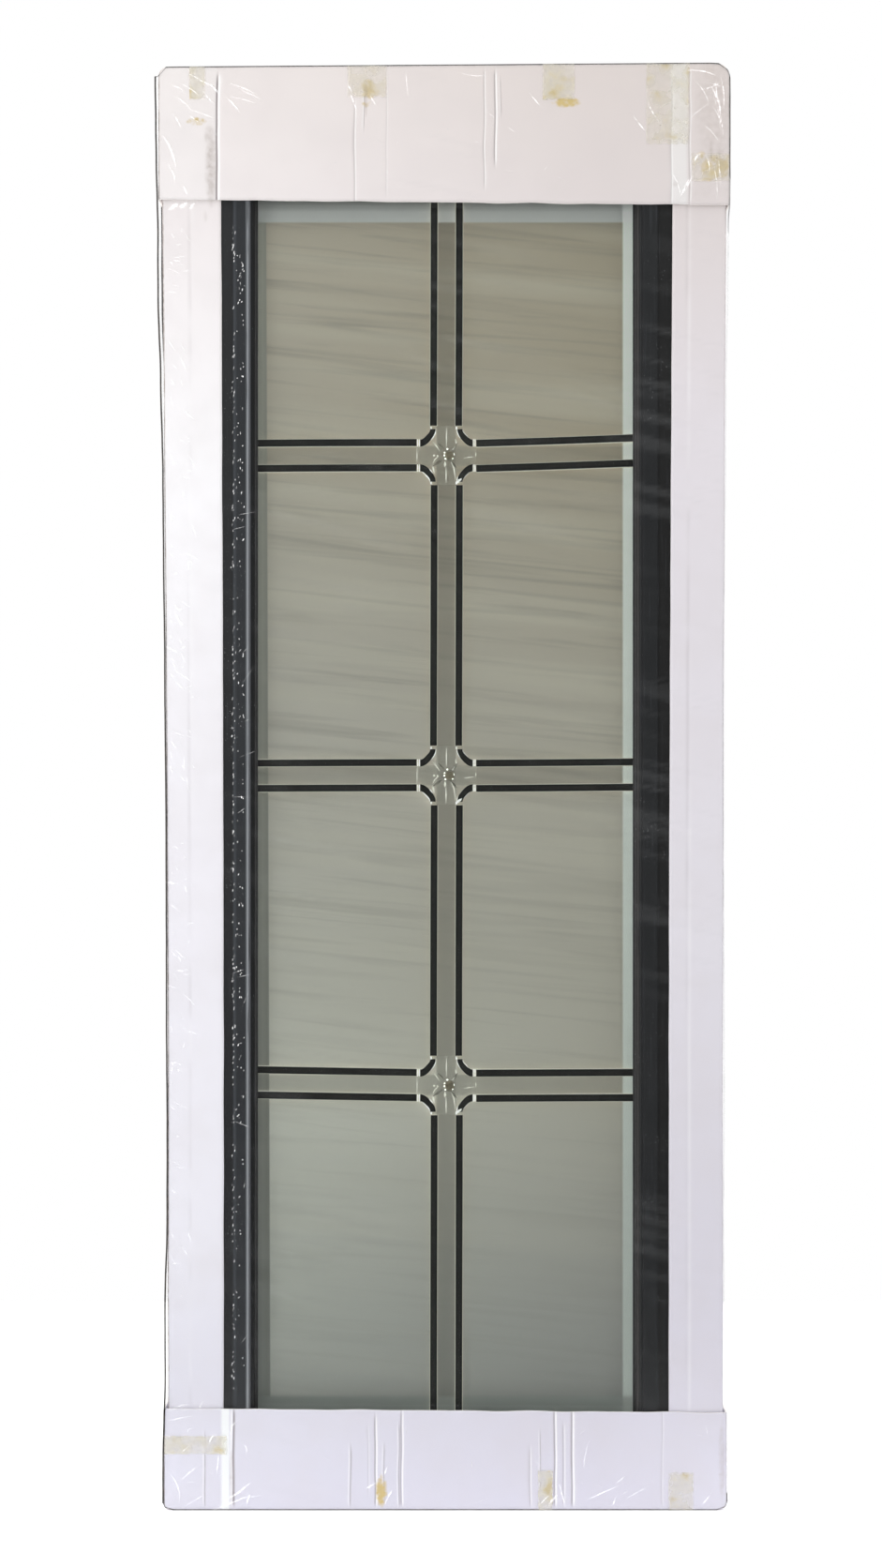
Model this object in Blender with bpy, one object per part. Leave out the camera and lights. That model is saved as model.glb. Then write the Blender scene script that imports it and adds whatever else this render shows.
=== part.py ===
"""Glazed aluminium door leaf in its transport packing.

The leaf stands upright in the XZ plane and its front looks towards -Y. Its hinge edge is x = 0, its foot is
z = 0 and y = 0 is the middle of its tubes. Everything is in metres.

A section is drawn as (u, y) points: u is the distance inwards from the outer edge of the leaf, so the same
section serves all four sides of the frame.
"""

import math

import bmesh
import bpy

# Leaf
LEAF_WIDTH = 0.800
LEAF_HEIGHT = 2.086
LEAF_DEPTH = 0.045
FIT = 0.0003

# Aluminium section of the stiles and rails
TUBE_FACE = 0.114
TUBE_WALL = 0.002
BAND_WIDTH = 0.022
BAND_RISE = 0.003
LIP_REACH = 0.010
LIP_THICKNESS = 0.003
LIP_SETBACK = 0.0095

# Glazing beads and gaskets
BEAD_REACH = 0.010
BEAD_SETBACK = 0.0015
BEAD_EDGE = 0.0025
BEAD_NOSE = 0.0027
BEAD_GROOVE_DEPTH = 0.0045
BEAD_FOOT = 0.0017
BEAD_FOOT_DEPTH = 0.007
GASKET_THICKNESS = 0.0014
GASKET_REACH = 0.0027
GASKET_RISE = 0.0025

# Sealed glass unit
PANE_THICKNESS = 0.005
CAVITY = 0.012
GLASS_BITE = 0.0095
SPACER_BITE = 0.001
SPACER_WIDTH = 0.008
SPACER_WALL = 0.0006

# Decorative bars between the panes
BAR_WIDTH = 0.0096
BAR_DEPTH = 0.006
BAR_GAP = 0.0272
BAR_OFFSET = 0.0015
CROSSING_HEIGHTS = (0.6095, 1.062, 1.529)
CROSSING_NAMES = ("lower", "middle", "upper")
LEFT_BAR_TILTS = (1.25, 0.0, 0.0)
RIGHT_BAR_TILTS = (0.0, 0.2, 1.7)

# Corner arcs, clear cross connectors and crystals
ARC_RADIUS = 0.020
ARC_WIDTH = 0.006
ARC_STEPS = 10
SOCKET_LENGTH = 0.0045
SOCKET_WALL = 0.0002
CROSS_OVERLAP = 0.001
RIM_WIDTH = 0.0012
RIM_OVERLAP_ANGLE = 4.0
CROSS_RELIEF = 0.001
CRYSTAL_GIRDLE = 0.018
CRYSTAL_TABLE = 0.010
CRYSTAL_GIRDLE_HEIGHT = 0.0008
CRYSTAL_CROWN = 0.0020
CRYSTAL_FACETS = 8

# Cardboard guards
BOARD = 0.003
LEFT_FLANGE = 0.078
RIGHT_FLANGE = 0.076
LEFT_FLARE = 0.009
RIGHT_FLARE = 0.0055
LEFT_OPENING = 0.0045
RIGHT_OPENING = 0.0065
FLARE_START = 0.60
FLARE_STEPS = 5
GUARD_END_SETBACK = 0.030
TOP_CAP_REACH = (0.189, 0.197)
TOP_CAP_OVERHANG = (0.0165, 0.0130)
TOP_CAP_SLANT = 0.006
TOP_CAP_CORNERS = (0.014, 0.022)
BOTTOM_CAP_REACH = (0.144, 0.138)
BOTTOM_CAP_OVERHANG = (0.0090, 0.0085)
BOTTOM_CAP_CORNERS = (0.010, 0.013)
CORNER_STEPS = 6

# Sizes that follow from those above
FRONT_FACE = -LEAF_DEPTH / 2
BACK_FACE = LEAF_DEPTH / 2
BAND_FACE = FRONT_FACE - BAND_RISE
LIP_BACK = BACK_FACE - LIP_SETBACK
LIP_FRONT = LIP_BACK - LIP_THICKNESS
REAR_PANE_BACK = LIP_FRONT - FIT - GASKET_THICKNESS - FIT
REAR_PANE_FRONT = REAR_PANE_BACK - PANE_THICKNESS
FRONT_PANE_BACK = REAR_PANE_FRONT - CAVITY
FRONT_PANE_FRONT = FRONT_PANE_BACK - PANE_THICKNESS
BEAD_BACK = FRONT_PANE_FRONT - FIT - GASKET_THICKNESS - FIT
BEAD_START = TUBE_FACE + FIT
BEAD_END = BEAD_START + BEAD_REACH
SIGHT_LINE = BEAD_END + GASKET_REACH
GLASS_EDGE = SIGHT_LINE - GLASS_BITE
SPACER_END = SIGHT_LINE - SPACER_BITE
BAR_PITCH = BAR_GAP + BAR_WIDTH
BAR_CENTRE = LEAF_WIDTH / 2 + BAR_OFFSET
BAR_MIDDLE = (REAR_PANE_FRONT + FRONT_PANE_BACK) / 2
BAR_FRONT = BAR_MIDDLE - BAR_DEPTH / 2
BAR_BACK = BAR_MIDDLE + BAR_DEPTH / 2
ARC_CENTRE = BAR_PITCH / 2 + ARC_RADIUS
SOCKET_START = ARC_CENTRE + FIT
SOCKET_END = SOCKET_START + SOCKET_LENGTH
BAR_START = SOCKET_END + FIT
GUARD_INNER_FACE = -FRONT_FACE + FIT
GUARD_OUTER_FACE = GUARD_INNER_FACE + BOARD
CAP_INNER_FACE = GUARD_OUTER_FACE + FIT
CAP_OUTER_FACE = CAP_INNER_FACE + BOARD
CAP_END = FIT + BOARD


def make_material(name, colour, roughness, metallic=0.0, transmission=0.0):
    """A plain surface with the piece's own colour."""
    material = bpy.data.materials.new(name)
    material.use_nodes = True
    shader = material.node_tree.nodes["Principled BSDF"]
    shader.inputs["Base Color"].default_value = (*colour, 1.0)
    shader.inputs["Roughness"].default_value = roughness
    shader.inputs["Metallic"].default_value = metallic
    shader.inputs["Transmission Weight"].default_value = transmission
    return material


def finish(name, bm, material):
    """Turn a bmesh into a named object with one material and outward faces."""
    bmesh.ops.recalc_face_normals(bm, faces=bm.faces)
    mesh = bpy.data.meshes.new(name)
    bm.to_mesh(mesh)
    bm.free()
    obj = bpy.data.objects.new(name, mesh)
    bpy.context.scene.collection.objects.link(obj)
    obj.data.materials.append(material)
    return obj


def add_ring(bm, points):
    """One closed loop of vertices with its edges."""
    verts = [bm.verts.new(point) for point in points]
    edges = [bm.edges.new((verts[i], verts[(i + 1) % len(verts)])) for i in range(len(verts))]
    return verts, edges


def bridge(bm, first, second):
    """Four-sided faces between two loops of the same count."""
    count = len(first)
    for i in range(count):
        j = (i + 1) % count
        bm.faces.new((first[i], first[j], second[j], second[i]))


def loft(name, sections, material):
    """A closed solid through a row of outlines, each a list of (x, y, z) points."""
    bm = bmesh.new()
    rings = [[bm.verts.new(point) for point in section] for section in sections]
    for first, second in zip(rings, rings[1:]):
        bridge(bm, first, second)
    bm.faces.new(rings[0])
    bm.faces.new(rings[-1])
    return finish(name, bm, material)


def slab(name, outline, front, back, material):
    """An (x, z) outline given thickness along Y."""
    return loft(name, [[(x, y, z) for x, z in outline] for y in (front, back)], material)


def frame_point(side, u, y, end, gap):
    """Where a section point lies on one side of the frame, at a mitred end (0 or 1)."""
    if side in ("left", "right"):
        x = u if side == "left" else LEAF_WIDTH - u
        z = u + gap if end == 0 else LEAF_HEIGHT - u - gap
        return (x, y, z)
    z = u if side == "bottom" else LEAF_HEIGHT - u
    x = u + gap if end == 0 else LEAF_WIDTH - u - gap
    return (x, y, z)


def mitred_bar(name, side, loops, material):
    """A length of extruded section, mitred at both ends; loops after the first are hollows."""
    gap = FIT / math.sqrt(2)
    bm = bmesh.new()
    end_edges = ([], [])
    for loop in loops:
        rings = []
        for end in (0, 1):
            verts, edges = add_ring(bm, [frame_point(side, u, y, end, gap) for u, y in loop])
            rings.append(verts)
            end_edges[end].extend(edges)
        bridge(bm, *rings)
    for edges in end_edges:
        bmesh.ops.triangle_fill(bm, use_beauty=True, edges=edges)
    return finish(name, bm, material)


def frame_ring(name, section, material):
    """A section carried round all four sides in one piece."""
    bm = bmesh.new()
    corners = []
    for side, end in (("left", 0), ("left", 1), ("right", 1), ("right", 0)):
        corners.append([bm.verts.new(frame_point(side, u, y, end, 0.0)) for u, y in section])
    for i in range(4):
        bridge(bm, corners[i], corners[(i + 1) % 4])
    return finish(name, bm, material)


def boolean(target, cutter, operation):
    """Cut a helper solid from the target, or join it on."""
    modifier = target.modifiers.new(cutter.name, "BOOLEAN")
    modifier.operation = operation
    modifier.solver = "EXACT"
    modifier.object = cutter
    cutter.hide_render = True
    cutter.display_type = "WIRE"


def make_frame(aluminium):
    """Four hollow stiles and rails with a raised band in front and a glazing lip behind."""
    band_start = TUBE_FACE - BAND_WIDTH
    outer = [
        (0.0, FRONT_FACE),
        (band_start, FRONT_FACE),
        (band_start, BAND_FACE),
        (TUBE_FACE, BAND_FACE),
        (TUBE_FACE, LIP_FRONT),
        (TUBE_FACE + LIP_REACH, LIP_FRONT),
        (TUBE_FACE + LIP_REACH, LIP_BACK),
        (TUBE_FACE, LIP_BACK),
        (TUBE_FACE, BACK_FACE),
        (0.0, BACK_FACE),
    ]
    hollow = [
        (TUBE_WALL, FRONT_FACE + TUBE_WALL),
        (band_start + TUBE_WALL, FRONT_FACE + TUBE_WALL),
        (band_start + TUBE_WALL, BAND_FACE + TUBE_WALL),
        (TUBE_FACE - TUBE_WALL, BAND_FACE + TUBE_WALL),
        (TUBE_FACE - TUBE_WALL, BACK_FACE - TUBE_WALL),
        (TUBE_WALL, BACK_FACE - TUBE_WALL),
    ]
    for kind, side in (("stile", "left"), ("stile", "right"), ("rail", "top"), ("rail", "bottom")):
        mitred_bar(f"{kind}_{side}", side, [outer, hollow], aluminium)


def make_beads(aluminium):
    """Snap-in beads round the front of the glass, with a bright edge, a groove and a nose."""
    front = BAND_FACE + BEAD_SETBACK
    groove = front + BEAD_GROOVE_DEPTH
    foot_back = BEAD_BACK + BEAD_FOOT_DEPTH
    section = [
        (BEAD_START, front),
        (BEAD_START + BEAD_EDGE, front),
        (BEAD_START + BEAD_EDGE, groove),
        (BEAD_END - BEAD_NOSE, groove),
        (BEAD_END - BEAD_NOSE / 2, groove - BEAD_NOSE / 2),
        (BEAD_END, groove),
        (BEAD_END, BEAD_BACK),
        (BEAD_START + BEAD_FOOT, BEAD_BACK),
        (BEAD_START + BEAD_FOOT, foot_back),
        (BEAD_START, foot_back),
    ]
    for side in ("left", "right", "top", "bottom"):
        mitred_bar("glazing_bead_" + side, side, [section], aluminium)


def make_gaskets(rubber):
    """Rubber loops that hold the sealed unit in front and behind."""
    front = FRONT_PANE_FRONT - FIT
    back = REAR_PANE_BACK + FIT
    front_section = [
        (GLASS_EDGE, front),
        (SIGHT_LINE, front),
        (SIGHT_LINE, front - GASKET_THICKNESS),
        (BEAD_END + FIT, front - GASKET_THICKNESS - GASKET_RISE),
        (BEAD_END + FIT, front - GASKET_THICKNESS),
        (GLASS_EDGE, front - GASKET_THICKNESS),
    ]
    lip_end = TUBE_FACE + LIP_REACH + FIT
    back_section = [
        (GLASS_EDGE, back),
        (SIGHT_LINE, back),
        (SIGHT_LINE, back + GASKET_THICKNESS),
        (lip_end, back + GASKET_THICKNESS + GASKET_RISE),
        (lip_end, back + GASKET_THICKNESS),
        (GLASS_EDGE, back + GASKET_THICKNESS),
    ]
    frame_ring("glazing_gasket_front", front_section, rubber)
    frame_ring("glazing_gasket_rear", back_section, rubber)


def make_glass(clear, frosted, spacer_metal):
    """A clear pane in front, a frosted pane behind and the channel between them."""
    low = GLASS_EDGE
    right = LEAF_WIDTH - GLASS_EDGE
    top = LEAF_HEIGHT - GLASS_EDGE
    outline = [(low, low), (right, low), (right, top), (low, top)]
    slab("glass_pane_front", outline, FRONT_PANE_FRONT, FRONT_PANE_BACK, clear)
    slab("glass_pane_rear", outline, REAR_PANE_FRONT, REAR_PANE_BACK, frosted)
    start = SPACER_END - SPACER_WIDTH
    front = FRONT_PANE_BACK + FIT
    back = REAR_PANE_FRONT - FIT
    channel = [
        (start, front),
        (SPACER_END, front),
        (SPACER_END, back),
        (start, back),
        (start, back - SPACER_WALL),
        (SPACER_END - SPACER_WALL, back - SPACER_WALL),
        (SPACER_END - SPACER_WALL, front + SPACER_WALL),
        (start, front + SPACER_WALL),
    ]
    frame_ring("glass_spacer", channel, spacer_metal)


def box_outline(x_low, x_high, z_low, z_high):
    """The four corners of an upright rectangle as (x, z) points."""
    return [(x_low, z_low), (x_high, z_low), (x_high, z_high), (x_low, z_high)]


def make_bars(black):
    """Pairs of flat bars that run up, down and across between the crossings."""
    centre = BAR_CENTRE
    half = BAR_WIDTH / 2
    stops = [SPACER_END + FIT]
    for height in CROSSING_HEIGHTS:
        stops.extend((height - BAR_START, height + BAR_START))
    stops.append(LEAF_HEIGHT - SPACER_END - FIT)
    for side, x in (("left", centre - BAR_PITCH / 2), ("right", centre + BAR_PITCH / 2)):
        for i in range(0, len(stops), 2):
            outline = box_outline(x - half, x + half, stops[i], stops[i + 1])
            slab(f"bar_upright_{side}_{i // 2 + 1}", outline, BAR_FRONT, BAR_BACK, black)
    left_length = centre - SPACER_END - FIT - BAR_START
    right_length = LEAF_WIDTH - SPACER_END - FIT - BAR_START - centre
    tilts = zip(CROSSING_NAMES, CROSSING_HEIGHTS, LEFT_BAR_TILTS, RIGHT_BAR_TILTS)
    for crossing, height, left_tilt, right_tilt in tilts:
        for row, offset in (("under", -BAR_PITCH / 2), ("over", BAR_PITCH / 2)):
            level = height + offset
            outline = box_outline(-left_length, 0.0, -half, half)
            bar = slab(f"bar_{crossing}_{row}_left", outline, BAR_FRONT, BAR_BACK, black)
            bar.location = (centre - BAR_START, 0.0, level)
            bar.rotation_euler = (0.0, math.radians(left_tilt), 0.0)
            outline = box_outline(0.0, right_length, -half, half)
            bar = slab(f"bar_{crossing}_{row}_right", outline, BAR_FRONT, BAR_BACK, black)
            bar.location = (centre + BAR_START, 0.0, level)
            bar.rotation_euler = (0.0, -math.radians(right_tilt), 0.0)


def arc_points(centre_x, centre_z, radius, start, end, steps):
    """Points along an arc in the (x, z) plane, angles in degrees."""
    points = []
    for i in range(steps + 1):
        angle = math.radians(start + (end - start) * i / steps)
        points.append((centre_x + radius * math.cos(angle), centre_z + radius * math.sin(angle)))
    return points


def make_corner_arcs(black):
    """Quarter-round pieces that join an upright bar to a cross bar at each corner of a crossing."""
    inner = arc_points(ARC_CENTRE, ARC_CENTRE, ARC_RADIUS - ARC_WIDTH / 2, 180, 270, ARC_STEPS)
    outer = arc_points(ARC_CENTRE, ARC_CENTRE, ARC_RADIUS + ARC_WIDTH / 2, 270, 180, ARC_STEPS)
    corners = (("over_right", 1, 1), ("over_left", -1, 1), ("under_left", -1, -1), ("under_right", 1, -1))
    for crossing, height in zip(CROSSING_NAMES, CROSSING_HEIGHTS):
        for corner, sign_x, sign_z in corners:
            outline = [(sign_x * x, sign_z * z) for x, z in inner + outer]
            arc = slab(f"corner_arc_{crossing}_{corner}", outline, BAR_FRONT, BAR_BACK, black)
            arc.location = (BAR_CENTRE, 0.0, height)


def cross_outline():
    """The four-armed outline of a connector, hollowed by the arcs that it holds."""
    arm = BAR_PITCH / 2 - ARC_WIDTH / 2 - FIT
    reach = SOCKET_END - SOCKET_WALL
    radius = ARC_RADIUS + ARC_WIDTH / 2 + FIT
    quarter = [(reach, -arm), (reach, arm)]
    quarter += arc_points(ARC_CENTRE, ARC_CENTRE, radius, 270, 180, ARC_STEPS)
    points = []
    for turn in range(4):
        c, s = round(math.cos(turn * math.pi / 2)), round(math.sin(turn * math.pi / 2))
        points.extend((c * x - s * z, s * x + c * z) for x, z in quarter)
    return points


def make_crosses(acrylic):
    """Clear moulded crosses: eight shallow facets, a socket at every bar end and a rim round every arc."""
    outline = cross_outline()
    middle_y = BAR_FRONT + CROSS_RELIEF / 2
    for crossing, height in zip(CROSSING_NAMES, CROSSING_HEIGHTS):
        bm = bmesh.new()
        front, back = [], []
        for x, z in outline:
            relief = CROSS_RELIEF * (1.0 - math.cos(4.0 * math.atan2(z, x)))
            front.append(bm.verts.new((x, BAR_FRONT + relief, z)))
            back.append(bm.verts.new((x, BAR_BACK, z)))
        bridge(bm, front, back)
        peak = bm.verts.new((0.0, middle_y, 0.0))
        for i in range(len(front)):
            bm.faces.new((peak, front[i], front[(i + 1) % len(front)]))
        bm.faces.new(back)
        cross = finish("cross_connector_" + crossing, bm, acrylic)
        cross.location = (BAR_CENTRE, 0.0, height)
        sockets = make_sockets("socket_helper_" + crossing, acrylic)
        sockets.location = cross.location
        boolean(cross, sockets, "UNION")
        rims = make_rims("rim_helper_" + crossing, acrylic)
        rims.location = cross.location
        boolean(cross, rims, "UNION")


def make_sockets(name, material):
    """Eight small blocks, one at each bar end, joined on to a connector."""
    low = BAR_PITCH / 2 - ARC_WIDTH / 2 - FIT - CROSS_OVERLAP
    high = BAR_PITCH / 2 + BAR_WIDTH / 2
    bm = bmesh.new()
    for turn in range(4):
        c, s = round(math.cos(turn * math.pi / 2)), round(math.sin(turn * math.pi / 2))
        for sign in (-1, 1):
            near, far = sorted((sign * low, sign * high))
            block = box_outline(SOCKET_START, SOCKET_END, near, far)
            turned = [(c * x - s * z, s * x + c * z) for x, z in block]
            rings = []
            for y in (BAR_FRONT - SOCKET_WALL, BAR_BACK + SOCKET_WALL):
                rings.append([bm.verts.new((x, y, z)) for x, z in turned])
            bridge(bm, *rings)
            bm.faces.new(rings[0])
            bm.faces.new(rings[1])
    return finish(name, bm, material)


def make_rims(name, material):
    """Four thin quarter-round rims outside the arcs, joined on to the sockets of a connector."""
    outer_radius = ARC_RADIUS - ARC_WIDTH / 2 - FIT
    inner_radius = outer_radius - RIM_WIDTH
    low, high = 180 - RIM_OVERLAP_ANGLE, 270 + RIM_OVERLAP_ANGLE
    quarter = arc_points(ARC_CENTRE, ARC_CENTRE, inner_radius, low, high, ARC_STEPS)
    quarter += arc_points(ARC_CENTRE, ARC_CENTRE, outer_radius, high, low, ARC_STEPS)
    bm = bmesh.new()
    for turn in range(4):
        c, s = round(math.cos(turn * math.pi / 2)), round(math.sin(turn * math.pi / 2))
        rings = []
        for y in (BAR_FRONT, BAR_BACK):
            rings.append([bm.verts.new((c * x - s * z, y, s * x + c * z)) for x, z in quarter])
        bridge(bm, *rings)
        bm.faces.new(rings[0])
        bm.faces.new(rings[1])
    return finish(name, bm, material)


def make_crystals(crystal):
    """Faceted crystals, flat behind, one in front of the middle of each connector."""
    base = BAR_FRONT + CROSS_RELIEF / 2 - FIT
    levels = (
        (CRYSTAL_GIRDLE / 2, base),
        (CRYSTAL_GIRDLE / 2, base - CRYSTAL_GIRDLE_HEIGHT),
        (CRYSTAL_TABLE / 2, base - CRYSTAL_GIRDLE_HEIGHT - CRYSTAL_CROWN),
    )
    for crossing, height in zip(CROSSING_NAMES, CROSSING_HEIGHTS):
        sections = []
        for radius, y in levels:
            section = []
            for i in range(CRYSTAL_FACETS):
                angle = 2 * math.pi * (i + 0.5) / CRYSTAL_FACETS
                section.append((radius * math.cos(angle), y, radius * math.sin(angle)))
            sections.append(section)
        bead = loft("crystal_" + crossing, sections, crystal)
        bead.location = (BAR_CENTRE, 0.0, height)


def grown(z, full, top):
    """A measure that is nothing low down on a side guard and grows to its full size at the guard's top."""
    share = max(0.0, (z - FLARE_START) / (top - FLARE_START))
    return full * share ** 1.5


def guard_levels():
    """The heights at which a side guard bends, from its foot to its top."""
    top = LEAF_HEIGHT - GUARD_END_SETBACK
    levels = [GUARD_END_SETBACK]
    levels.extend(FLARE_START + (top - FLARE_START) * i / FLARE_STEPS for i in range(FLARE_STEPS + 1))
    return levels


def make_side_guards(board):
    """Cardboard channels over the two long edges, set a little further out towards the top."""
    levels = guard_levels()
    left = ("left", LEFT_FLANGE, LEFT_FLARE, LEFT_OPENING)
    right = ("right", RIGHT_FLANGE, RIGHT_FLARE, RIGHT_OPENING)
    for name, flange, flare, opening in (left, right):
        sections = []
        for z in levels:
            web = -FIT - grown(z, flare, levels[-1])
            edge = flange - grown(z, opening, levels[-1])
            half = [
                (web - BOARD, -GUARD_OUTER_FACE),
                (edge, -GUARD_OUTER_FACE),
                (edge, -GUARD_INNER_FACE),
                (web, -GUARD_INNER_FACE),
            ]
            channel = half + [(u, -y) for u, y in reversed(half)]
            if name == "right":
                channel = [(LEAF_WIDTH - u, y) for u, y in channel]
            sections.append([(x, y, z) for x, y in channel])
        loft("packing_guard_" + name, sections, board)


def make_top_cap(board):
    """A folded cardboard cap over the head of the leaf and the tops of the side guards."""
    left, right = -TOP_CAP_OVERHANG[0], LEAF_WIDTH + TOP_CAP_OVERHANG[1]
    top = LEAF_HEIGHT + CAP_END
    left_r, right_r = TOP_CAP_CORNERS
    low_left, low_right = LEAF_HEIGHT - TOP_CAP_REACH[0], LEAF_HEIGHT - TOP_CAP_REACH[1]
    outline = [(left, low_left), (right, low_right)]
    outline += arc_points(right - right_r, top + TOP_CAP_SLANT - right_r, right_r, 0, 90, CORNER_STEPS)
    outline += arc_points(left + left_r, top - left_r, left_r, 90, 180, CORNER_STEPS)
    cap = slab("packing_guard_top", outline, -CAP_OUTER_FACE, CAP_OUTER_FACE, board)
    step = LEAF_HEIGHT - GUARD_END_SETBACK + FIT
    slot_left = -(FIT + BOARD + LEFT_FLARE + FIT)
    slot_right = LEAF_WIDTH + FIT + BOARD + RIGHT_FLARE + FIT
    below = min(low_left, low_right) - BOARD
    pocket = [
        (slot_left, below),
        (slot_right, below),
        (slot_right, step),
        (LEAF_WIDTH + FIT, step),
        (LEAF_WIDTH + FIT, LEAF_HEIGHT + FIT),
        (-FIT, LEAF_HEIGHT + FIT),
        (-FIT, step),
        (slot_left, step),
    ]
    boolean(cap, slab("top_pocket_helper", pocket, -CAP_INNER_FACE, CAP_INNER_FACE, board), "DIFFERENCE")


def make_bottom_cap(board):
    """The same cap over the foot of the leaf, tighter because the guards lie close there."""
    left, right = -BOTTOM_CAP_OVERHANG[0], LEAF_WIDTH + BOTTOM_CAP_OVERHANG[1]
    bottom = -CAP_END
    left_r, right_r = BOTTOM_CAP_CORNERS
    outline = [(right, BOTTOM_CAP_REACH[1]), (left, BOTTOM_CAP_REACH[0])]
    outline += arc_points(left + left_r, bottom + left_r, left_r, 180, 270, CORNER_STEPS)
    outline += arc_points(right - right_r, bottom + right_r, right_r, 270, 360, CORNER_STEPS)
    cap = slab("packing_guard_bottom", outline, -CAP_OUTER_FACE, CAP_OUTER_FACE, board)
    step = GUARD_END_SETBACK - FIT
    slot_left = -(FIT + BOARD + FIT)
    slot_right = LEAF_WIDTH + FIT + BOARD + FIT
    above = max(BOTTOM_CAP_REACH) + BOARD
    pocket = [
        (-FIT, -FIT),
        (LEAF_WIDTH + FIT, -FIT),
        (LEAF_WIDTH + FIT, step),
        (slot_right, step),
        (slot_right, above),
        (slot_left, above),
        (slot_left, step),
        (-FIT, step),
    ]
    boolean(cap, slab("bottom_pocket_helper", pocket, -CAP_INNER_FACE, CAP_INNER_FACE, board), "DIFFERENCE")


def main():
    for obj in list(bpy.data.objects):
        bpy.data.objects.remove(obj)
    aluminium = make_material("black_aluminium", (0.018, 0.019, 0.021), 0.42, metallic=0.3)
    rubber = make_material("gasket_rubber", (0.006, 0.006, 0.006), 0.6)
    clear = make_material("clear_glass", (0.93, 0.97, 0.94), 0.02, transmission=1.0)
    frosted = make_material("frosted_glass", (0.36, 0.37, 0.33), 0.55, transmission=0.3)
    spacer_metal = make_material("spacer_aluminium", (0.55, 0.55, 0.55), 0.35, metallic=1.0)
    black = make_material("black_bar", (0.022, 0.020, 0.018), 0.35)
    acrylic = make_material("clear_acrylic", (0.9, 0.92, 0.9), 0.05, transmission=0.9)
    crystal = make_material("cut_crystal", (0.95, 0.97, 0.98), 0.01, transmission=1.0)
    board = make_material("white_cardboard", (0.80, 0.75, 0.76), 0.75)
    make_frame(aluminium)
    make_beads(aluminium)
    make_gaskets(rubber)
    make_glass(clear, frosted, spacer_metal)
    make_bars(black)
    make_corner_arcs(black)
    make_crosses(acrylic)
    make_crystals(crystal)
    make_side_guards(board)
    make_top_cap(board)
    make_bottom_cap(board)


main()
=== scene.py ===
"""The looks of a glazed door leaf in its transport packing: finishes, board, tape, film, light and camera."""

import math

import bmesh
import bpy
import numpy as np
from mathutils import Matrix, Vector, noise


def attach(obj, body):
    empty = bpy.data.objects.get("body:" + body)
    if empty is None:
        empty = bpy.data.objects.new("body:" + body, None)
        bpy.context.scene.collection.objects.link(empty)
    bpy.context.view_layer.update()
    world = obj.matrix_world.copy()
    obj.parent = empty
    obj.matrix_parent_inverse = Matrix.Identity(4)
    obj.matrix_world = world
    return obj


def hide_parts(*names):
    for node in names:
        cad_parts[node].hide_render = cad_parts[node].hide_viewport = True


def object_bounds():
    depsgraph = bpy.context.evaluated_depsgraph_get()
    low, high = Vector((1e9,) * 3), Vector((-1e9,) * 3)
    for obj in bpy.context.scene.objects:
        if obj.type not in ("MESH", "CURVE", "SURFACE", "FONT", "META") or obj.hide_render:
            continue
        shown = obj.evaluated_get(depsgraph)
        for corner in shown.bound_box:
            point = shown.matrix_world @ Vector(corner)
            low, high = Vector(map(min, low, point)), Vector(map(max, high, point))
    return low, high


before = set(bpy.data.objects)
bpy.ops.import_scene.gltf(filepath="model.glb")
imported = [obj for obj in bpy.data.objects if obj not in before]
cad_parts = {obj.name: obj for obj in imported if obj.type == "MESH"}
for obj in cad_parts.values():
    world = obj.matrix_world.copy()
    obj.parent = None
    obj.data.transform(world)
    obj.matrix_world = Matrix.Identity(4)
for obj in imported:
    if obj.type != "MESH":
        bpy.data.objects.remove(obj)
cad_low, cad_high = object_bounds()

# The door leaf, in metres, as the solids have it
LEAF_WIDTH = 0.8
BAR_FRONT_FACE = -0.006
BAR_BACK_FACE = 0.0
BAR_CENTRE = 0.4015
CROSSINGS = (("lower", 0.6095), ("middle", 1.062), ("upper", 1.529))
BAR_SPACING = 0.0368
BAR_WIDTH = 0.01
# A quarter arc's bend, its middle line, how far that swings out and in, and its width
ARC_RADIUS = 0.02
ARC_MIDDLE = 0.0186
ARC_BULGE = 0.001
ARC_WIDTH = 0.0091
ARC_CENTRE = BAR_SPACING / 2 + ARC_RADIUS
CLIP_LENGTH = 0.0045
# Where a bar's rolled grooves run, as a share of its half width, and how far its seam, which carries a
# painted highlight, stands out
GROOVE_SHARE = 0.42
BAR_SEAM, ARC_SEAM = 0.0009, 0.0002
BAR_STEPS, ARC_STEPS = 12, 16
# Heights between which the rear pane's colours are given
PANE_ENDS = (0.12, 1.97)

# The packing boards
BOARD_THICKNESS = 0.0026
BOARD_BEND = 0.0022
CAP_FACE = 0.0291
GUARD_FACE = 0.0258
GUARD_ENDS = (0.03, 2.056)
LEFT_FLANGE = 0.078
RIGHT_FLANGE = 0.7245
LEFT_FLARE = 0.01
RIGHT_FLARE = 0.0055
LEFT_OPENING = 0.0045
RIGHT_OPENING = 0.0065
FLARE_START = 0.6
WEB_CLEARANCE = 0.0033

# The shrink film: its lowest and highest edge and how far it lies over the boards
FILM_FOOT, FILM_HEAD = -0.0033, 2.0953
FILM_LIFT = 0.0011


def linear(code):
    """The linear colour of an sRGB hex value."""
    channels = [int(code[i:i + 2], 16) / 255 for i in (1, 3, 5)]
    return [c / 12.92 if c <= 0.04045 else ((c + 0.055) / 1.055) ** 2.4 for c in channels] + [1.0]


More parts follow.
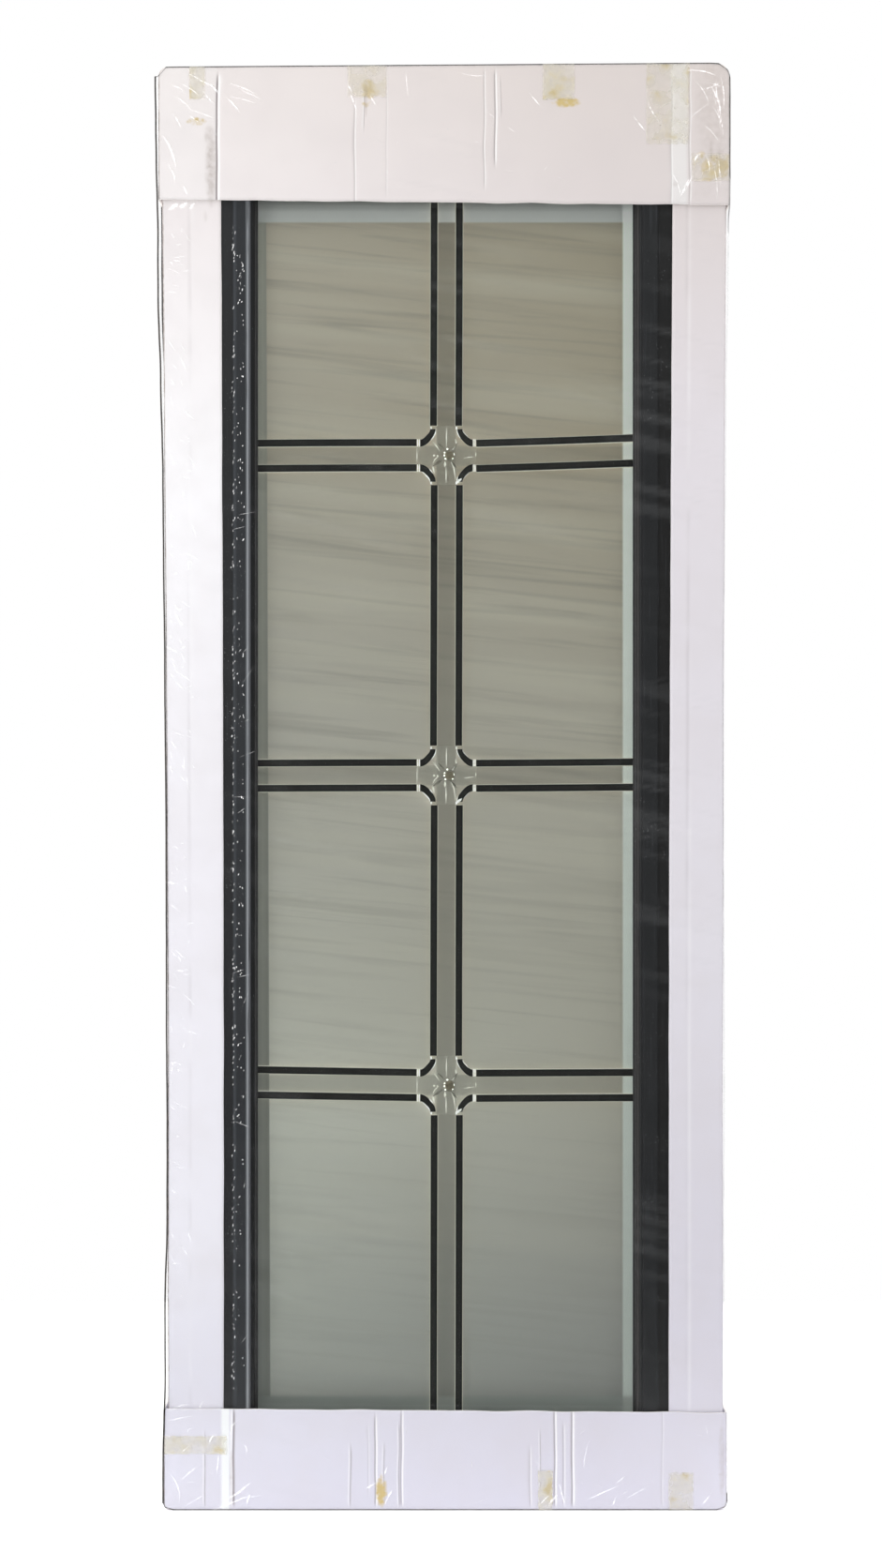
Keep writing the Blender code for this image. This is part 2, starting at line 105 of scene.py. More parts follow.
def add(tree, kind, inputs=None, stops=None, **settings):
    """Adds a node with its settings; each input gets a value, a node's first output or a socket."""
    node = tree.nodes.new("ShaderNode" + kind)
    for name, value in settings.items():
        setattr(node, name, value)
    for name, value in (inputs or {}).items():
        if isinstance(value, bpy.types.Node):
            value = value.outputs[0]
        if isinstance(value, bpy.types.NodeSocket):
            tree.links.new(value, node.inputs[name])
        else:
            node.inputs[name].default_value = value
    if stops:
        ramp = node.color_ramp.elements
        while len(ramp) < len(stops):
            ramp.new(0.5)
        for element, (place, code) in zip(ramp, stops):
            element.position = place
            element.color = linear(code)
    return node


def start_finish(name):
    """An empty material, its node tree and the place on the leaf, by which its patterns go."""
    finish = bpy.data.materials.new(name)
    finish.use_nodes = True
    tree = finish.node_tree
    tree.nodes.clear()
    return finish, tree, add(tree, "TexCoord").outputs["Object"]


def end_finish(finish, look):
    """Closes a material with one shader that has the look's values and links."""
    shader = add(finish.node_tree, "BsdfPrincipled", look)
    add(finish.node_tree, "OutputMaterial", {"Surface": shader})
    return finish


def laid_over(tree, under, colour, value, start, end, most=1.0):
    """A colour laid over another one: none of it where the value is at start, as much as most at end."""
    cover = add(tree, "MapRange", {"Value": value, "From Min": start, "From Max": end, "To Max": most})
    over = linear(colour) if isinstance(colour, str) else colour
    return add(tree, "MixRGB", {"Fac": cover, "Color1": under, "Color2": over})


def painted_light_by_place(tree, place, ends, left_stops, right_stops, sides):
    """Painted light: a colour that goes with the height, in one way at the left and in another at the right.
    """
    split = add(tree, "SeparateXYZ", {"Vector": place})
    level = add(tree, "MapRange", {"Value": split.outputs["Z"], "From Min": ends[0], "From Max": ends[1]})
    left, right = [add(tree, "ValToRGB", {"Fac": level}, stops=stops) for stops in (left_stops, right_stops)]
    return split, level, laid_over(tree, left, right, split.outputs["X"], *sides)


def mottled(name, scale, detail, stops, look, relief=None):
    """A material with one mottle between two colours; relief gives how strong and deep it is raised by it."""
    finish, tree, place = start_finish(name)
    mottle = add(tree, "TexNoise", {"Vector": place, "Scale": scale, "Detail": detail})
    look["Base Color"] = add(tree, "ValToRGB", {"Fac": mottle}, stops=stops)
    if relief:
        look["Normal"] = add(tree, "Bump", {"Height": mottle, "Strength": relief[0], "Distance": relief[1]})
    return end_finish(finish, look)


def smooth_step(value):
    """A smooth rise from 0 to 1 as the value goes from 0 to 1."""
    value = min(1.0, max(0.0, value))
    return value * value * (3 - 2 * value)


def wobble(x, z, size, seed):
    """Smooth noise from -1 to 1 over the door's face, with lumps of about the given size."""
    return noise.noise(Vector((x / size, seed, z / size)))


def powder_coated_aluminium():
    """Extruded aluminium, powder coated matt black: a soft sheen over orange peel, with dust and rubs."""
    finish, tree, place = start_finish("powder_coated_aluminium")
    split = add(tree, "SeparateXYZ", {"Vector": place})
    # The peel's lumps are about 0.7 mm, drawn at 1.6 mm so that they show
    peel = add(tree, "TexNoise", {"Vector": place, "Scale": 620.0, "Detail": 2.0})
    # Painted light: each flat of the section takes the light differently, and its edges get thin painted
    # highlights: outer face, raised band, bead
    profile = add(tree, "ValToRGB", {"Fac": split.outputs["X"]}, stops=(
        (0.09, "#0e1013"), (0.0926, "#101216"), (0.0935, "#3a3e43"), (0.095, "#1d2024"), (0.1095, "#1f2226"),
        (0.1106, "#020203"), (0.1117, "#020203"), (0.1122, "#b4b9be"), (0.1131, "#b4b9be"),
        (0.1136, "#14161a"), (0.1195, "#1b1d21"), (0.1212, "#060606"), (0.676, "#050505"),
        (0.6782, "#7d7a79"), (0.6805, "#060606"), (0.6845, "#2b2d2e"), (0.688, "#151719"),
        (0.707, "#16181a"), (0.709, "#0e0e0e"),
    ))
    coat = laid_over(tree, profile, "#17181a", split.outputs["Y"], -0.005, 0.0)
    # Rubbed marks are 4 mm wide and 110 mm long
    rubs = add(tree, "Mapping", {"Vector": place, "Scale": (260.0, 260.0, 9.0)})
    rubbed = add(tree, "TexNoise", {"Vector": rubs, "Scale": 1.0, "Detail": 3.0})
    worn = laid_over(tree, coat, "#26282b", rubbed, 0.60, 0.74)
    # Dust specks are 0.3 to 1 mm across and lie in patches
    dust = add(tree, "TexVoronoi", {"Vector": place, "Scale": 190.0})
    speck = add(tree, "MapRange", {"Value": dust, "From Min": 0.12, "From Max": 0.05})
    patchy = add(tree, "TexNoise", {"Vector": place, "Scale": 14.0, "Detail": 3.0})
    patches = add(tree, "MapRange", {"Value": patchy, "From Min": 0.50, "From Max": 0.66})
    specks = add(tree, "Math", {0: speck, 1: patches}, operation="MULTIPLY")
    colour = add(tree, "MixRGB", {"Fac": specks, "Color1": worn, "Color2": linear("#a0a2a4")})
    gloss = add(tree, "MapRange", {"Value": patchy, "To Min": 0.34, "To Max": 0.50})
    bump = add(tree, "Bump", {"Height": peel, "Strength": 0.12, "Distance": 0.0006})
    return end_finish(finish, {"Base Color": colour, "Roughness": gloss, "Normal": bump, "IOR": 1.5})


def extruded_rubber():
    """Extruded EPDM glazing rubber: dead matt black with faint drag lines along its length, and a painted
    highlight along its lip.
    """
    finish, tree, place = start_finish("extruded_rubber")
    # Drag lines are about 0.2 mm apart, drawn at 1.1 mm
    grain = add(tree, "TexNoise", {"Vector": place, "Scale": 900.0, "Detail": 2.0})
    black = add(tree, "ValToRGB", {"Fac": grain}, stops=((0.3, "#060606"), (0.7, "#101010")))
    # Painted highlight: the lip at the right lies flat on the glass, and its shine along its length is
    # painted in as a pale stripe
    across = add(tree, "SeparateXYZ", {"Vector": place}).outputs["X"]
    lip = add(tree, "ValToRGB", {"Fac": across}, stops=(
        (0.6725, "#000000"), (0.673, "#ffffff"), (0.6748, "#ffffff"), (0.6754, "#000000"),
    ))
    colour = add(tree, "MixRGB", {"Fac": lip, "Color1": black, "Color2": linear("#d5dbd8")})
    bump = add(tree, "Bump", {"Height": grain, "Strength": 0.2, "Distance": 0.0003})
    return end_finish(finish, {"Base Color": colour, "Roughness": 0.72, "Normal": bump, "IOR": 1.5})


def clear_float_glass():
    """Clear float glass: see-through, hard and flat, with the faintest roller wave."""
    finish, tree, place = start_finish("clear_float_glass")
    # The roller wave is about 250 mm from crest to crest
    wave = add(tree, "TexNoise", {"Vector": place, "Scale": 4.0, "Detail": 1.0})
    bump = add(tree, "Bump", {"Height": wave, "Strength": 0.05, "Distance": 0.002})
    return end_finish(finish, {
        "Base Color": linear("#f7fbf8"), "Roughness": 0.0, "IOR": 1.5, "Transmission Weight": 1.0,
        "Normal": bump,
    })


def acid_etched_glass():
    """Float glass etched by acid all over but for its border: a silky grey-olive with cloudy streaks of
    painted reflection, painted light that changes with height and side, and painted shade and light at its
    border and between the bars.
    """
    finish, tree, place = start_finish("acid_etched_glass")
    # Painted light: lighter and darker with the height, and darker at the right
    split, level, colour = painted_light_by_place(
        tree, place, PANE_ENDS,
        ((0.0, "#c6c6c2"), (0.08, "#dfdfd9"), (0.24, "#fffdf4"), (0.33, "#f4f0e6"), (0.52, "#e9e3da"),
         (0.78, "#e6dccd"), (1.0, "#e8dccb")),
        ((0.0, "#aeadab"), (0.08, "#c4c2be"), (0.26, "#e2dcd0"), (0.52, "#e0d8cb"), (0.78, "#d6c9b4"),
         (1.0, "#d1c4ae")),
        (0.15, 0.65))
    across, height = split.outputs["X"], split.outputs["Z"]
    # Painted reflections: dark streaks 12 to 25 mm apart and pale cloudy ones 60 mm apart run down to the
    # right, most of all above
    slant = add(tree, "Math", {0: across, 1: 0.10, 2: height}, operation="MULTIPLY_ADD")
    drawn = add(tree, "CombineXYZ", {"X": across, "Z": slant})
    tilt = add(tree, "Mapping", {"Vector": drawn, "Scale": (2.4, 1.0, 66.0)})
    upper = add(tree, "MapRange", {
        "Value": height, "From Min": 0.6, "From Max": 1.3, "To Min": 0.30, "To Max": 1.0,
    })
    for code, scale, detail, distortion, start, end, most in (
        ("#98948a", 1.0, 3.0, 0.9, 0.48, 0.70, 0.36), ("#fff8e8", 0.3, 2.0, 0.0, 0.46, 0.66, 0.30),
    ):
        painted_reflection_streak = add(tree, "TexNoise", {
            "Vector": tilt, "Scale": scale, "Detail": detail, "Distortion": distortion,
        })
        cover = add(tree, "MapRange", {"Value": painted_reflection_streak, "From Min": start, "From Max": end, "To Max": most})
        fade = add(tree, "Math", {0: cover, 1: upper}, operation="MULTIPLY")
        colour = add(tree, "MixRGB", {"Fac": fade, "Color1": colour, "Color2": linear(code)})
    # Between two bars the pane lies in their shade
    shade = 0.0
    rows = [(height, middle, 0.24) for _, middle in CROSSINGS]
    for along, middle, most in [(across, BAR_CENTRE, 0.42)] + rows:
        off_middle = add(tree, "Math", {0: along, 1: middle}, operation="SUBTRACT")
        beside = add(tree, "Math", {0: off_middle}, operation="ABSOLUTE")
        strip = add(tree, "MapRange", {"Value": beside, "From Min": 0.015, "From Max": 0.013, "To Max": most})
        shade = add(tree, "Math", {0: shade, 1: strip}, operation="MAXIMUM")
    colour = add(tree, "MixRGB", {"Fac": shade, "Color1": colour, "Color2": linear("#5f5b50")})
    # The border without etching, 15 to 20 mm wide, leans at the left; its colours are painted light, which it
    # catches from one side
    lean = add(tree, "MapRange", {
        "Value": level, "To Min": 0.1438, "To Max": 0.1372,
    })
    left_edge = add(tree, "Math", {0: lean, 1: across}, operation="SUBTRACT")
    at_left = add(tree, "MapRange", {"Value": left_edge, "From Min": -0.0008, "From Max": 0.0008})
    left_border = add(tree, "ValToRGB", {"Fac": level}, stops=(
        (0.05, "#a9aaa6"), (0.40, "#c2c1b9"), (0.9, "#d3d1c6"),
    ))
    colour = add(tree, "MixRGB", {"Fac": at_left, "Color1": colour, "Color2": left_border})
    # Painted shade darkens the left border towards the gasket; painted light brightens the right one along
    # the pane's edge
    painted_gasket_shade = add(tree, "MapRange", {"Value": across, "From Min": 0.133, "From Max": 0.139, "To Max": 0.35})
    painted_gasket_shade_at_left = add(tree, "Math", {0: painted_gasket_shade, 1: at_left}, operation="MULTIPLY")
    colour = add(tree, "MixRGB", {"Fac": painted_gasket_shade_at_left, "Color1": colour, "Color2": linear("#8c8b82")})
    at_right = add(tree, "MapRange", {"Value": across, "From Min": 0.658, "From Max": 0.661})
    right_border = add(tree, "ValToRGB", {"Fac": level}, stops=(
        (0.05, "#d2d8d4"), (0.40, "#eef4ef"), (0.9, "#fbfffa"),
    ))
    colour = add(tree, "MixRGB", {"Fac": at_right, "Color1": colour, "Color2": right_border})
    # Painted light: the border under the head is made white
    colour = laid_over(tree, colour, "#ffffff", height, 1.8695, 1.8725)
    # The cap's edge shades the pane's top
    colour = laid_over(tree, colour, "#4a4b46", height, 1.886, 1.906, 0.75)
    # Painted light: a pale band along the pane's foot
    colour = laid_over(tree, colour, "#b4b8b4", height, 0.157, 0.151)
    # Only the face towards the gap is etched; through the glass from behind it is darker
    colour = laid_over(tree, colour, "#8f9188", split.outputs["Y"], 0.005, 0.006)
    # The etch pits are about 0.05 mm, drawn at 1 mm
    pits = add(tree, "TexNoise", {"Vector": place, "Scale": 1000.0, "Detail": 1.0})
    bump = add(tree, "Bump", {"Height": pits, "Strength": 0.08, "Distance": 0.0003})
    # Painted glow: an emission stands in for light from the room behind coming through it, most of all in the
    # clear border at the right
    painted_glow = add(tree, "MapRange", {"Value": at_right, "To Min": 0.05, "To Max": 0.21})
    return end_finish(finish, {
        "Base Color": colour, "Roughness": 0.55, "IOR": 1.5, "Transmission Weight": 0.12, "Normal": bump,
        "Emission Color": colour, "Emission Strength": painted_glow,
    })


def mill_finish_aluminium():
    """Roll-formed aluminium strip, left as it came from the mill: a pale metal with fine lines along it."""
    finish, tree, place = start_finish("mill_finish_aluminium")
    # Mill lines are about 1 mm wide and 80 mm long
    lines = add(tree, "Mapping", {"Vector": place, "Scale": (900.0, 900.0, 12.0)})
    grain = add(tree, "TexNoise", {"Vector": lines, "Scale": 1.0, "Detail": 2.0})
    colour = add(tree, "ValToRGB", {"Fac": grain}, stops=((0.3, "#a9abad"), (0.7, "#c4c6c8")))
    gloss = add(tree, "MapRange", {"Value": grain, "To Min": 0.28, "To Max": 0.42})
    return end_finish(finish, {"Base Color": colour, "Metallic": 1.0, "Roughness": gloss})


def lacquered_bar():
    """Roll-formed aluminium bar, lacquered black: dark, with two fine rolled grooves and thin edges painted
    pale and glowing as highlights.
    """
    finish, tree, place = start_finish("lacquered_bar")
    across = add(tree, "Attribute", attribute_name="across").outputs["Fac"]
    # Cloudy lumps in the lacquer are about 17 mm
    mottle = add(tree, "TexNoise", {"Vector": place, "Scale": 60.0, "Detail": 3.0})
    black = add(tree, "ValToRGB", {"Fac": mottle}, stops=((0.35, "#090807"), (0.65, "#110f0d")))
    off_groove = add(tree, "Math", {0: across, 1: GROOVE_SHARE}, operation="SUBTRACT")
    distance = add(tree, "Math", {0: off_groove}, operation="ABSOLUTE")
    grooved = laid_over(tree, black, "#22201d", distance, 0.10, 0.03)
    # Painted highlight: the seam at either side is pale and glows
    painted_edge_highlight = add(tree, "MapRange", {"Value": across, "From Min": 1.01, "From Max": 1.05})
    colour = add(tree, "MixRGB", {"Fac": painted_edge_highlight, "Color1": grooved, "Color2": linear("#dedcd0")})
    bump = add(tree, "Bump", {"Height": mottle, "Strength": 0.05, "Distance": 0.0005})
    painted_glow = add(tree, "MapRange", {"Value": painted_edge_highlight, "To Max": 0.32})
    return end_finish(finish, {
        "Base Color": colour, "Roughness": 0.48, "Normal": bump, "IOR": 1.5,
        "Emission Color": linear("#f4f1e4"), "Emission Strength": painted_glow,
    })


def moulded_clear_acrylic(name, cover, painted_glow, dark="#b9b7aa", light="#e8e6da"):
    """Injection-moulded clear acrylic: hardly there on its flats, bright with a painted glow where a ridge
    gathers the light; its dark variant is painted shade.
    """
    # Flow lines in the moulding are 2 to 3 mm apart
    return mottled(name, 400.0, 1.0, ((0.3, dark), (0.7, light)), {
        "Roughness": 0.08, "IOR": 1.49, "Alpha": cover, "Emission Color": linear("#fffdf4"),
        "Emission Strength": painted_glow,
    }, (0.10, 0.0005))


def acrylic_edge_highlight():
    """Painted highlight: the moulding's polished lips and clips, which gather the light and are made white
    and glowing in lengths of 6 mm.
    """
    return mottled("acrylic_edge_highlight", 160.0, 2.0, ((0.40, "#c9c8c0"), (0.58, "#ffffff")), {
        "Roughness": 0.12, "IOR": 1.49, "Emission Color": linear("#ffffff"), "Emission Strength": 0.60,
    })


def cut_crystal():
    """Cut and polished lead crystal with a foiled back: brown-olive depths 5 mm apart."""
    return mottled("cut_crystal", 200.0, 1.0, ((0.35, "#8e8571"), (0.65, "#a79c86")), {
        "Roughness": 0.04, "IOR": 1.6,
    })


def clear_facet():
    """The crystal's outer facets of 3 mm, which show the pane behind them a little brighter."""
    return mottled("clear_facet", 300.0, 1.0, ((0.35, "#a29d8d"), (0.65, "#c4c0b2")), {
        "Roughness": 0.04, "IOR": 1.6, "Alpha": 0.65,
    })


def lit_facet():
    """Painted glints: the crystal's facets of 3 mm that face the light, made almost white and glowing."""
    return mottled("lit_facet", 300.0, 1.0, ((0.3, "#eceae0"), (0.6, "#ffffff")), {
        "Roughness": 0.05, "IOR": 1.6, "Emission Color": linear("#fffdf2"), "Emission Strength": 1.6,
    })


def white_lined_board():
    """Greyboard with a bleached white liner: matt, with painted light that is pinkish above, bluish below and
    darker at the right, and painted light and shade on its folds.
    """
    finish, tree, place = start_finish("white_lined_board")
    fold, glue, dirt_and_edge_shade, lap = [
        add(tree, "Attribute", attribute_name=name).outputs["Fac"] for name in ("fold", "glue", "dirt_and_edge_shade", "lap")
    ]
    # Painted light: lighter at the left and darker at the right, and changing with the height
    _, _, colour = painted_light_by_place(
        tree, place, (0.0, 2.09),
        ((0.0, "#d6d5e2"), (0.08, "#dcdbe6"), (0.18, "#eeedf5"), (0.45, "#f1eff5"), (0.72, "#fbfafc"),
         (0.90, "#eee8e8"), (1.0, "#ebe4e2")),
        ((0.0, "#d4d2df"), (0.10, "#d5d2dd"), (0.40, "#dedbe2"), (0.75, "#dfdadf"), (0.90, "#dad2d1"),
         (1.0, "#d9d0cc")),
        (0.0, 0.62))
    # Board mottle: cloudy lumps of 40 to 80 mm
    cloud = add(tree, "TexNoise", {"Vector": place, "Scale": 16.0, "Detail": 4.0})
    colour = laid_over(tree, colour, "#cfc8c8", cloud, 0.40, 0.72, 0.16)
    colour = add(tree, "MixRGB", {"Fac": lap, "Color1": colour, "Color2": linear("#f4f7f6")})
    # Painted light and shade on the folds: white on their lit side, grey-brown on their shaded side
    colour = laid_over(tree, colour, "#ffffff", fold, 0.0, 1.0)
    colour = laid_over(tree, colour, "#8d8587", fold, 0.0, -1.0)
    # Glue stains, and dirt with the painted shade round the board's edges, break up at 3 to 10 mm
    ragged = add(tree, "TexNoise", {"Vector": place, "Scale": 150.0, "Detail": 4.0})
    for stain, code, start, end, most in (
        (glue, "#cbb579", 0.22, 0.48, 0.95), (dirt_and_edge_shade, "#9a8c82", 0.06, 0.80, 0.9),
    ):
        broken = add(tree, "Math", {0: stain, 1: ragged}, operation="MULTIPLY")
        colour = laid_over(tree, colour, code, broken, start, end, most)
    # Paper fibres are about 0.1 mm wide, drawn at 1 mm
    fibre = add(tree, "TexNoise", {"Vector": place, "Scale": 1000.0, "Detail": 3.0})
    bump = add(tree, "Bump", {"Height": fibre, "Strength": 0.10, "Distance": 0.0003})
    return end_finish(finish, {"Base Color": colour, "Roughness": 0.62, "Normal": bump, "IOR": 1.45})


def cut_board_edge():
    """The board's cut edge: bare paper, a little darker and rougher than its liner."""
    # Torn fibres are about 0.3 mm, drawn at 1.4 mm
    return mottled("cut_board_edge", 700.0, 3.0, ((0.3, "#d8d3cf"), (0.7, "#f1eeea")), {
        "Roughness": 0.85, "IOR": 1.45,
    }, (0.4, 0.0005))


def packing_tape(name, strength):
    """Aged acrylic packing tape: thin, yellowed, glossier than board, its glue in ragged lumps."""
    finish, tree, place = start_finish(name)
    # Glue lumps are about 20 mm
    lumps = add(tree, "TexNoise", {"Vector": place, "Scale": 45.0, "Detail": 3.0})
    colour = add(tree, "ValToRGB", {"Fac": lumps}, stops=(
        (0.40, "#ebe7da"), (0.60, "#e7e1cb"), (0.74, "#dac992"),
    ))
    body = add(tree, "MapRange", {
        "Value": lumps, "From Min": 0.35, "From Max": 0.65, "To Min": strength * 0.55, "To Max": strength,
    })
    held = add(tree, "Attribute", attribute_name="held").outputs["Fac"]
    cover = add(tree, "Math", {0: body, 1: held}, operation="MULTIPLY")
    bump = add(tree, "Bump", {"Height": lumps, "Strength": 0.06, "Distance": 0.001})
    return end_finish(finish, {
        "Base Color": colour, "Roughness": 0.25, "IOR": 1.48, "Alpha": cover, "Normal": bump,
    })


def shrink_film():
    """Clear polyolefin shrink film, heat-tightened: a thin grey veil with painted sheen, pale streaks of
    painted reflection, gathered at its edges with a painted shadow along them.
    """
    finish, tree, _ = start_finish("shrink_film")
    veil_and_sheen = add(tree, "Attribute", attribute_name="veil_and_sheen").outputs["Fac"]
    gather_and_shadow = add(tree, "Attribute", attribute_name="gather_and_shadow").outputs["Fac"]
    colour = add(tree, "MixRGB", {"Fac": gather_and_shadow, "Color1": linear("#f2f4f6"), "Color2": linear("#40362f")})
    return end_finish(finish, {"Base Color": colour, "Roughness": 0.22, "IOR": 1.5, "Alpha": veil_and_sheen})


def film_rim_with_shadow():
    """The film's rim, where it was sealed and shrank into many layers: a dark brown line, partly painted
    shadow along the pack's outline.
    """
    # Layers bunch up every 5 to 15 mm
    return mottled("film_rim_with_shadow", 110.0, 2.0, ((0.35, "#120e0c"), (0.65, "#3c332e")), {
        "Roughness": 0.8, "IOR": 1.5, "Specular IOR Level": 0.1, "Alpha": 0.94,
    })


def film_fold_highlight():
    """A fold or pinch in the film, where several layers catch the light: a painted highlight, white and
    glowing.
    """
    finish, tree, place = start_finish("film_fold_highlight")
    shine = add(tree, "Attribute", attribute_name="shine").outputs["Fac"]
    # A fold breaks up about every 4 mm
    broken = add(tree, "TexNoise", {"Vector": place, "Scale": 240.0, "Detail": 2.0})
    whole = add(tree, "MapRange", {"Value": broken, "From Min": 0.32, "From Max": 0.60})
    cover = add(tree, "Math", {0: shine, 1: whole}, operation="MULTIPLY")
    return end_finish(finish, {
        "Base Color": linear("#ffffff"), "Roughness": 0.18, "IOR": 1.5, "Alpha": cover,
        "Emission Color": linear("#ffffff"), "Emission Strength": 0.55,
    })


BLACK_COAT = powder_coated_aluminium()
RUBBER = extruded_rubber()
CLEAR_GLASS = clear_float_glass()
ETCHED_GLASS = acid_etched_glass()
SPACER_METAL = mill_finish_aluminium()
BLACK_BAR = lacquered_bar()
ACRYLIC = moulded_clear_acrylic("moulded_clear_acrylic", 0.1, 0.1)
ACRYLIC_RIDGE_HIGHLIGHT = moulded_clear_acrylic("moulded_acrylic_ridge_highlight", 0.75, 0.75)
ACRYLIC_EDGE_HIGHLIGHT = acrylic_edge_highlight()
ACRYLIC_GROOVE_SHADE = moulded_clear_acrylic("moulded_acrylic_groove_shade", 0.42, 0.0, "#5c5848", "#7b7664")
CRYSTAL = cut_crystal()
CRYSTAL_CLEAR = clear_facet()
CRYSTAL_LIT = lit_facet()
BOARD = white_lined_board()
BOARD_EDGE = cut_board_edge()
TAPE = packing_tape("packing_tape", 0.6)
PALE_TAPE = packing_tape("packing_tape_pale", 0.42)
FILM = shrink_film()
FILM_RIM_SHADOW = film_rim_with_shadow()
FOLD_HIGHLIGHT = film_fold_highlight()


def make_piece(name, bm, finishes, smooth=True):
    """Turns mesh data into a named piece that rides on the leaf."""
    mesh = bpy.data.meshes.new(name)
    bm.to_mesh(mesh)
    bm.free()
    for finish in finishes:
        mesh.materials.append(finish)
    for face in mesh.polygons:
        face.use_smooth = smooth
    piece = bpy.data.objects.new(name, mesh)
    bpy.context.scene.collection.objects.link(piece)
    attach(piece, "root")
    return piece


def dress(names, finish):
    """Gives solids that are shown as they are their finish."""
    for name in names:
        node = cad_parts[name]
        node.data.materials.clear()
        node.data.materials.append(finish)


def soften(node, width, segments=2):
    """Rounds a solid's sharp edges a little, as extruding and coating do."""
    bevel = node.modifiers.new("soft_edges", "BEVEL")
    bevel.width = width
    bevel.segments = segments
    bevel.limit_method = "ANGLE"
    bevel.angle_limit = math.radians(40)


def bar_ends(node):
    """The middle of a bar's front face at each of its two ends."""
    points = np.array([v.co for v in node.data.vertices])
    spread = points.max(0) - points.min(0)
    axis = 2 if spread[2] > spread[0] else 0
    low = points[points[:, axis] < points[:, axis].min() + 0.001]
    high = points[points[:, axis] > points[:, axis].max() - 0.001]
    return Vector(low.mean(0)), Vector(high.mean(0))


def skin(bm, rows, closed=False, finish_index=0):
    """Faces between neighbouring rows of vertices; closed rows run back to their start."""
    for first, second in zip(rows, rows[1:]):
        count = len(first)
        for i in range(count if closed else count - 1):
            j = (i + 1) % count
            bm.faces.new((first[i], first[j], second[j], second[i])).material_index = finish_index


def sweep_bar(name, path, normals, widths, seam):
    """A flat rounded bar swept along a path, with how far each point is across it kept for its finish."""
    lip, step = 0.0005, 0.0001
    face, back = BAR_FRONT_FACE, BAR_BACK_FACE
    middle = (face + back) / 2
    bm = bmesh.new()
    across = bm.verts.layers.float.new("across")
    rings = []
    for point, normal, width in zip(path, normals, widths):
        half = width / 2
        right = [(half * GROOVE_SHARE, face + step), (half - lip, face), (half, face + lip), (half, middle)]
        right += [(half + step, middle), (half + seam, middle), (half + seam, back)]
        ring = []
        for u, y in right + [(-u, y) for u, y in reversed(right)]:
            vert = bm.verts.new((point.x + normal.x * u, y, point.z + normal.z * u))
            vert[across] = 1.1 if abs(u) > half else abs(u) / half
            ring.append(vert)
        rings.append(ring)
    skin(bm, rings, closed=True)
    bm.faces.new(rings[0])
    bm.faces.new(rings[-1])
    bmesh.ops.recalc_face_normals(bm, faces=bm.faces)
    return make_piece(name, bm, [BLACK_BAR], smooth=False)


def dress_bars():
    """Rolled bars in place of the plain ones, a little crooked, as hand-fitted bars are."""
    for node_name in sorted(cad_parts):
        if not node_name.startswith("bar_"):
            continue
        low, high = bar_ends(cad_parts[node_name])
        along = (high - low).normalized()
        normal = Vector((-along.z, 0.0, along.x))
        path, normals = [], []
        for i in range(BAR_STEPS + 1):
            share = i / BAR_STEPS
            point = low.lerp(high, share)
            bow = 0.0005 * math.sin(math.pi * share) * wobble(low.x, low.z, 0.3, 4.0)
            path.append(point + normal * bow)
            normals.append(normal)
        bar = sweep_bar(node_name + "_rolled", path, normals, [BAR_WIDTH] * len(path), BAR_SEAM)
        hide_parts(node_name)


def arc_line(share):
    """Radius and width of a quarter-round bar, from the upright's end (0) to the cross bar's end (1)."""
    radius = ARC_MIDDLE + 0.0018 * (share - 0.5) + ARC_BULGE * math.cos(2 * math.pi * share)
    return radius, ARC_WIDTH + 0.0024 * (share - 0.5)


def dress_arcs():
    """Quarter-round bars at the crossings."""
    corners = (("over_right", 1, 1), ("over_left", -1, 1), ("under_left", -1, -1), ("under_right", 1, -1))
    for crossing, height in CROSSINGS:
        for corner, sign_x, sign_z in corners:
            path, normals, widths = [], [], []
            middle = Vector((BAR_CENTRE + sign_x * ARC_CENTRE, 0.0, height + sign_z * ARC_CENTRE))
            for i in range(ARC_STEPS + 1):
                angle = math.radians(180 + 90 * i / ARC_STEPS)
                turned = Vector((sign_x * math.cos(angle), 0.0, sign_z * math.sin(angle)))
                radius, width = arc_line(i / ARC_STEPS)
                path.append(middle + turned * radius)
                normals.append(turned)
                widths.append(width)
            node_name = f"corner_arc_{crossing}_{corner}"
            arc = sweep_bar(node_name + "_rolled", path, normals, widths, ARC_SEAM)
            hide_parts(node_name)


def add_block(bm, corners, front, back, finish_index):
    """A small block over a four-cornered outline given as (x, z) points."""
    near = [bm.verts.new((x, front, z)) for x, z in corners]
    far = [bm.verts.new((x, back, z)) for x, z in corners]
    faces = [bm.faces.new(near), bm.faces.new(list(reversed(far)))]
    for i in range(len(corners)):
        j = (i + 1) % len(corners)
        faces.append(bm.faces.new((near[j], near[i], far[i], far[j])))
    for face in faces:
        face.material_index = finish_index


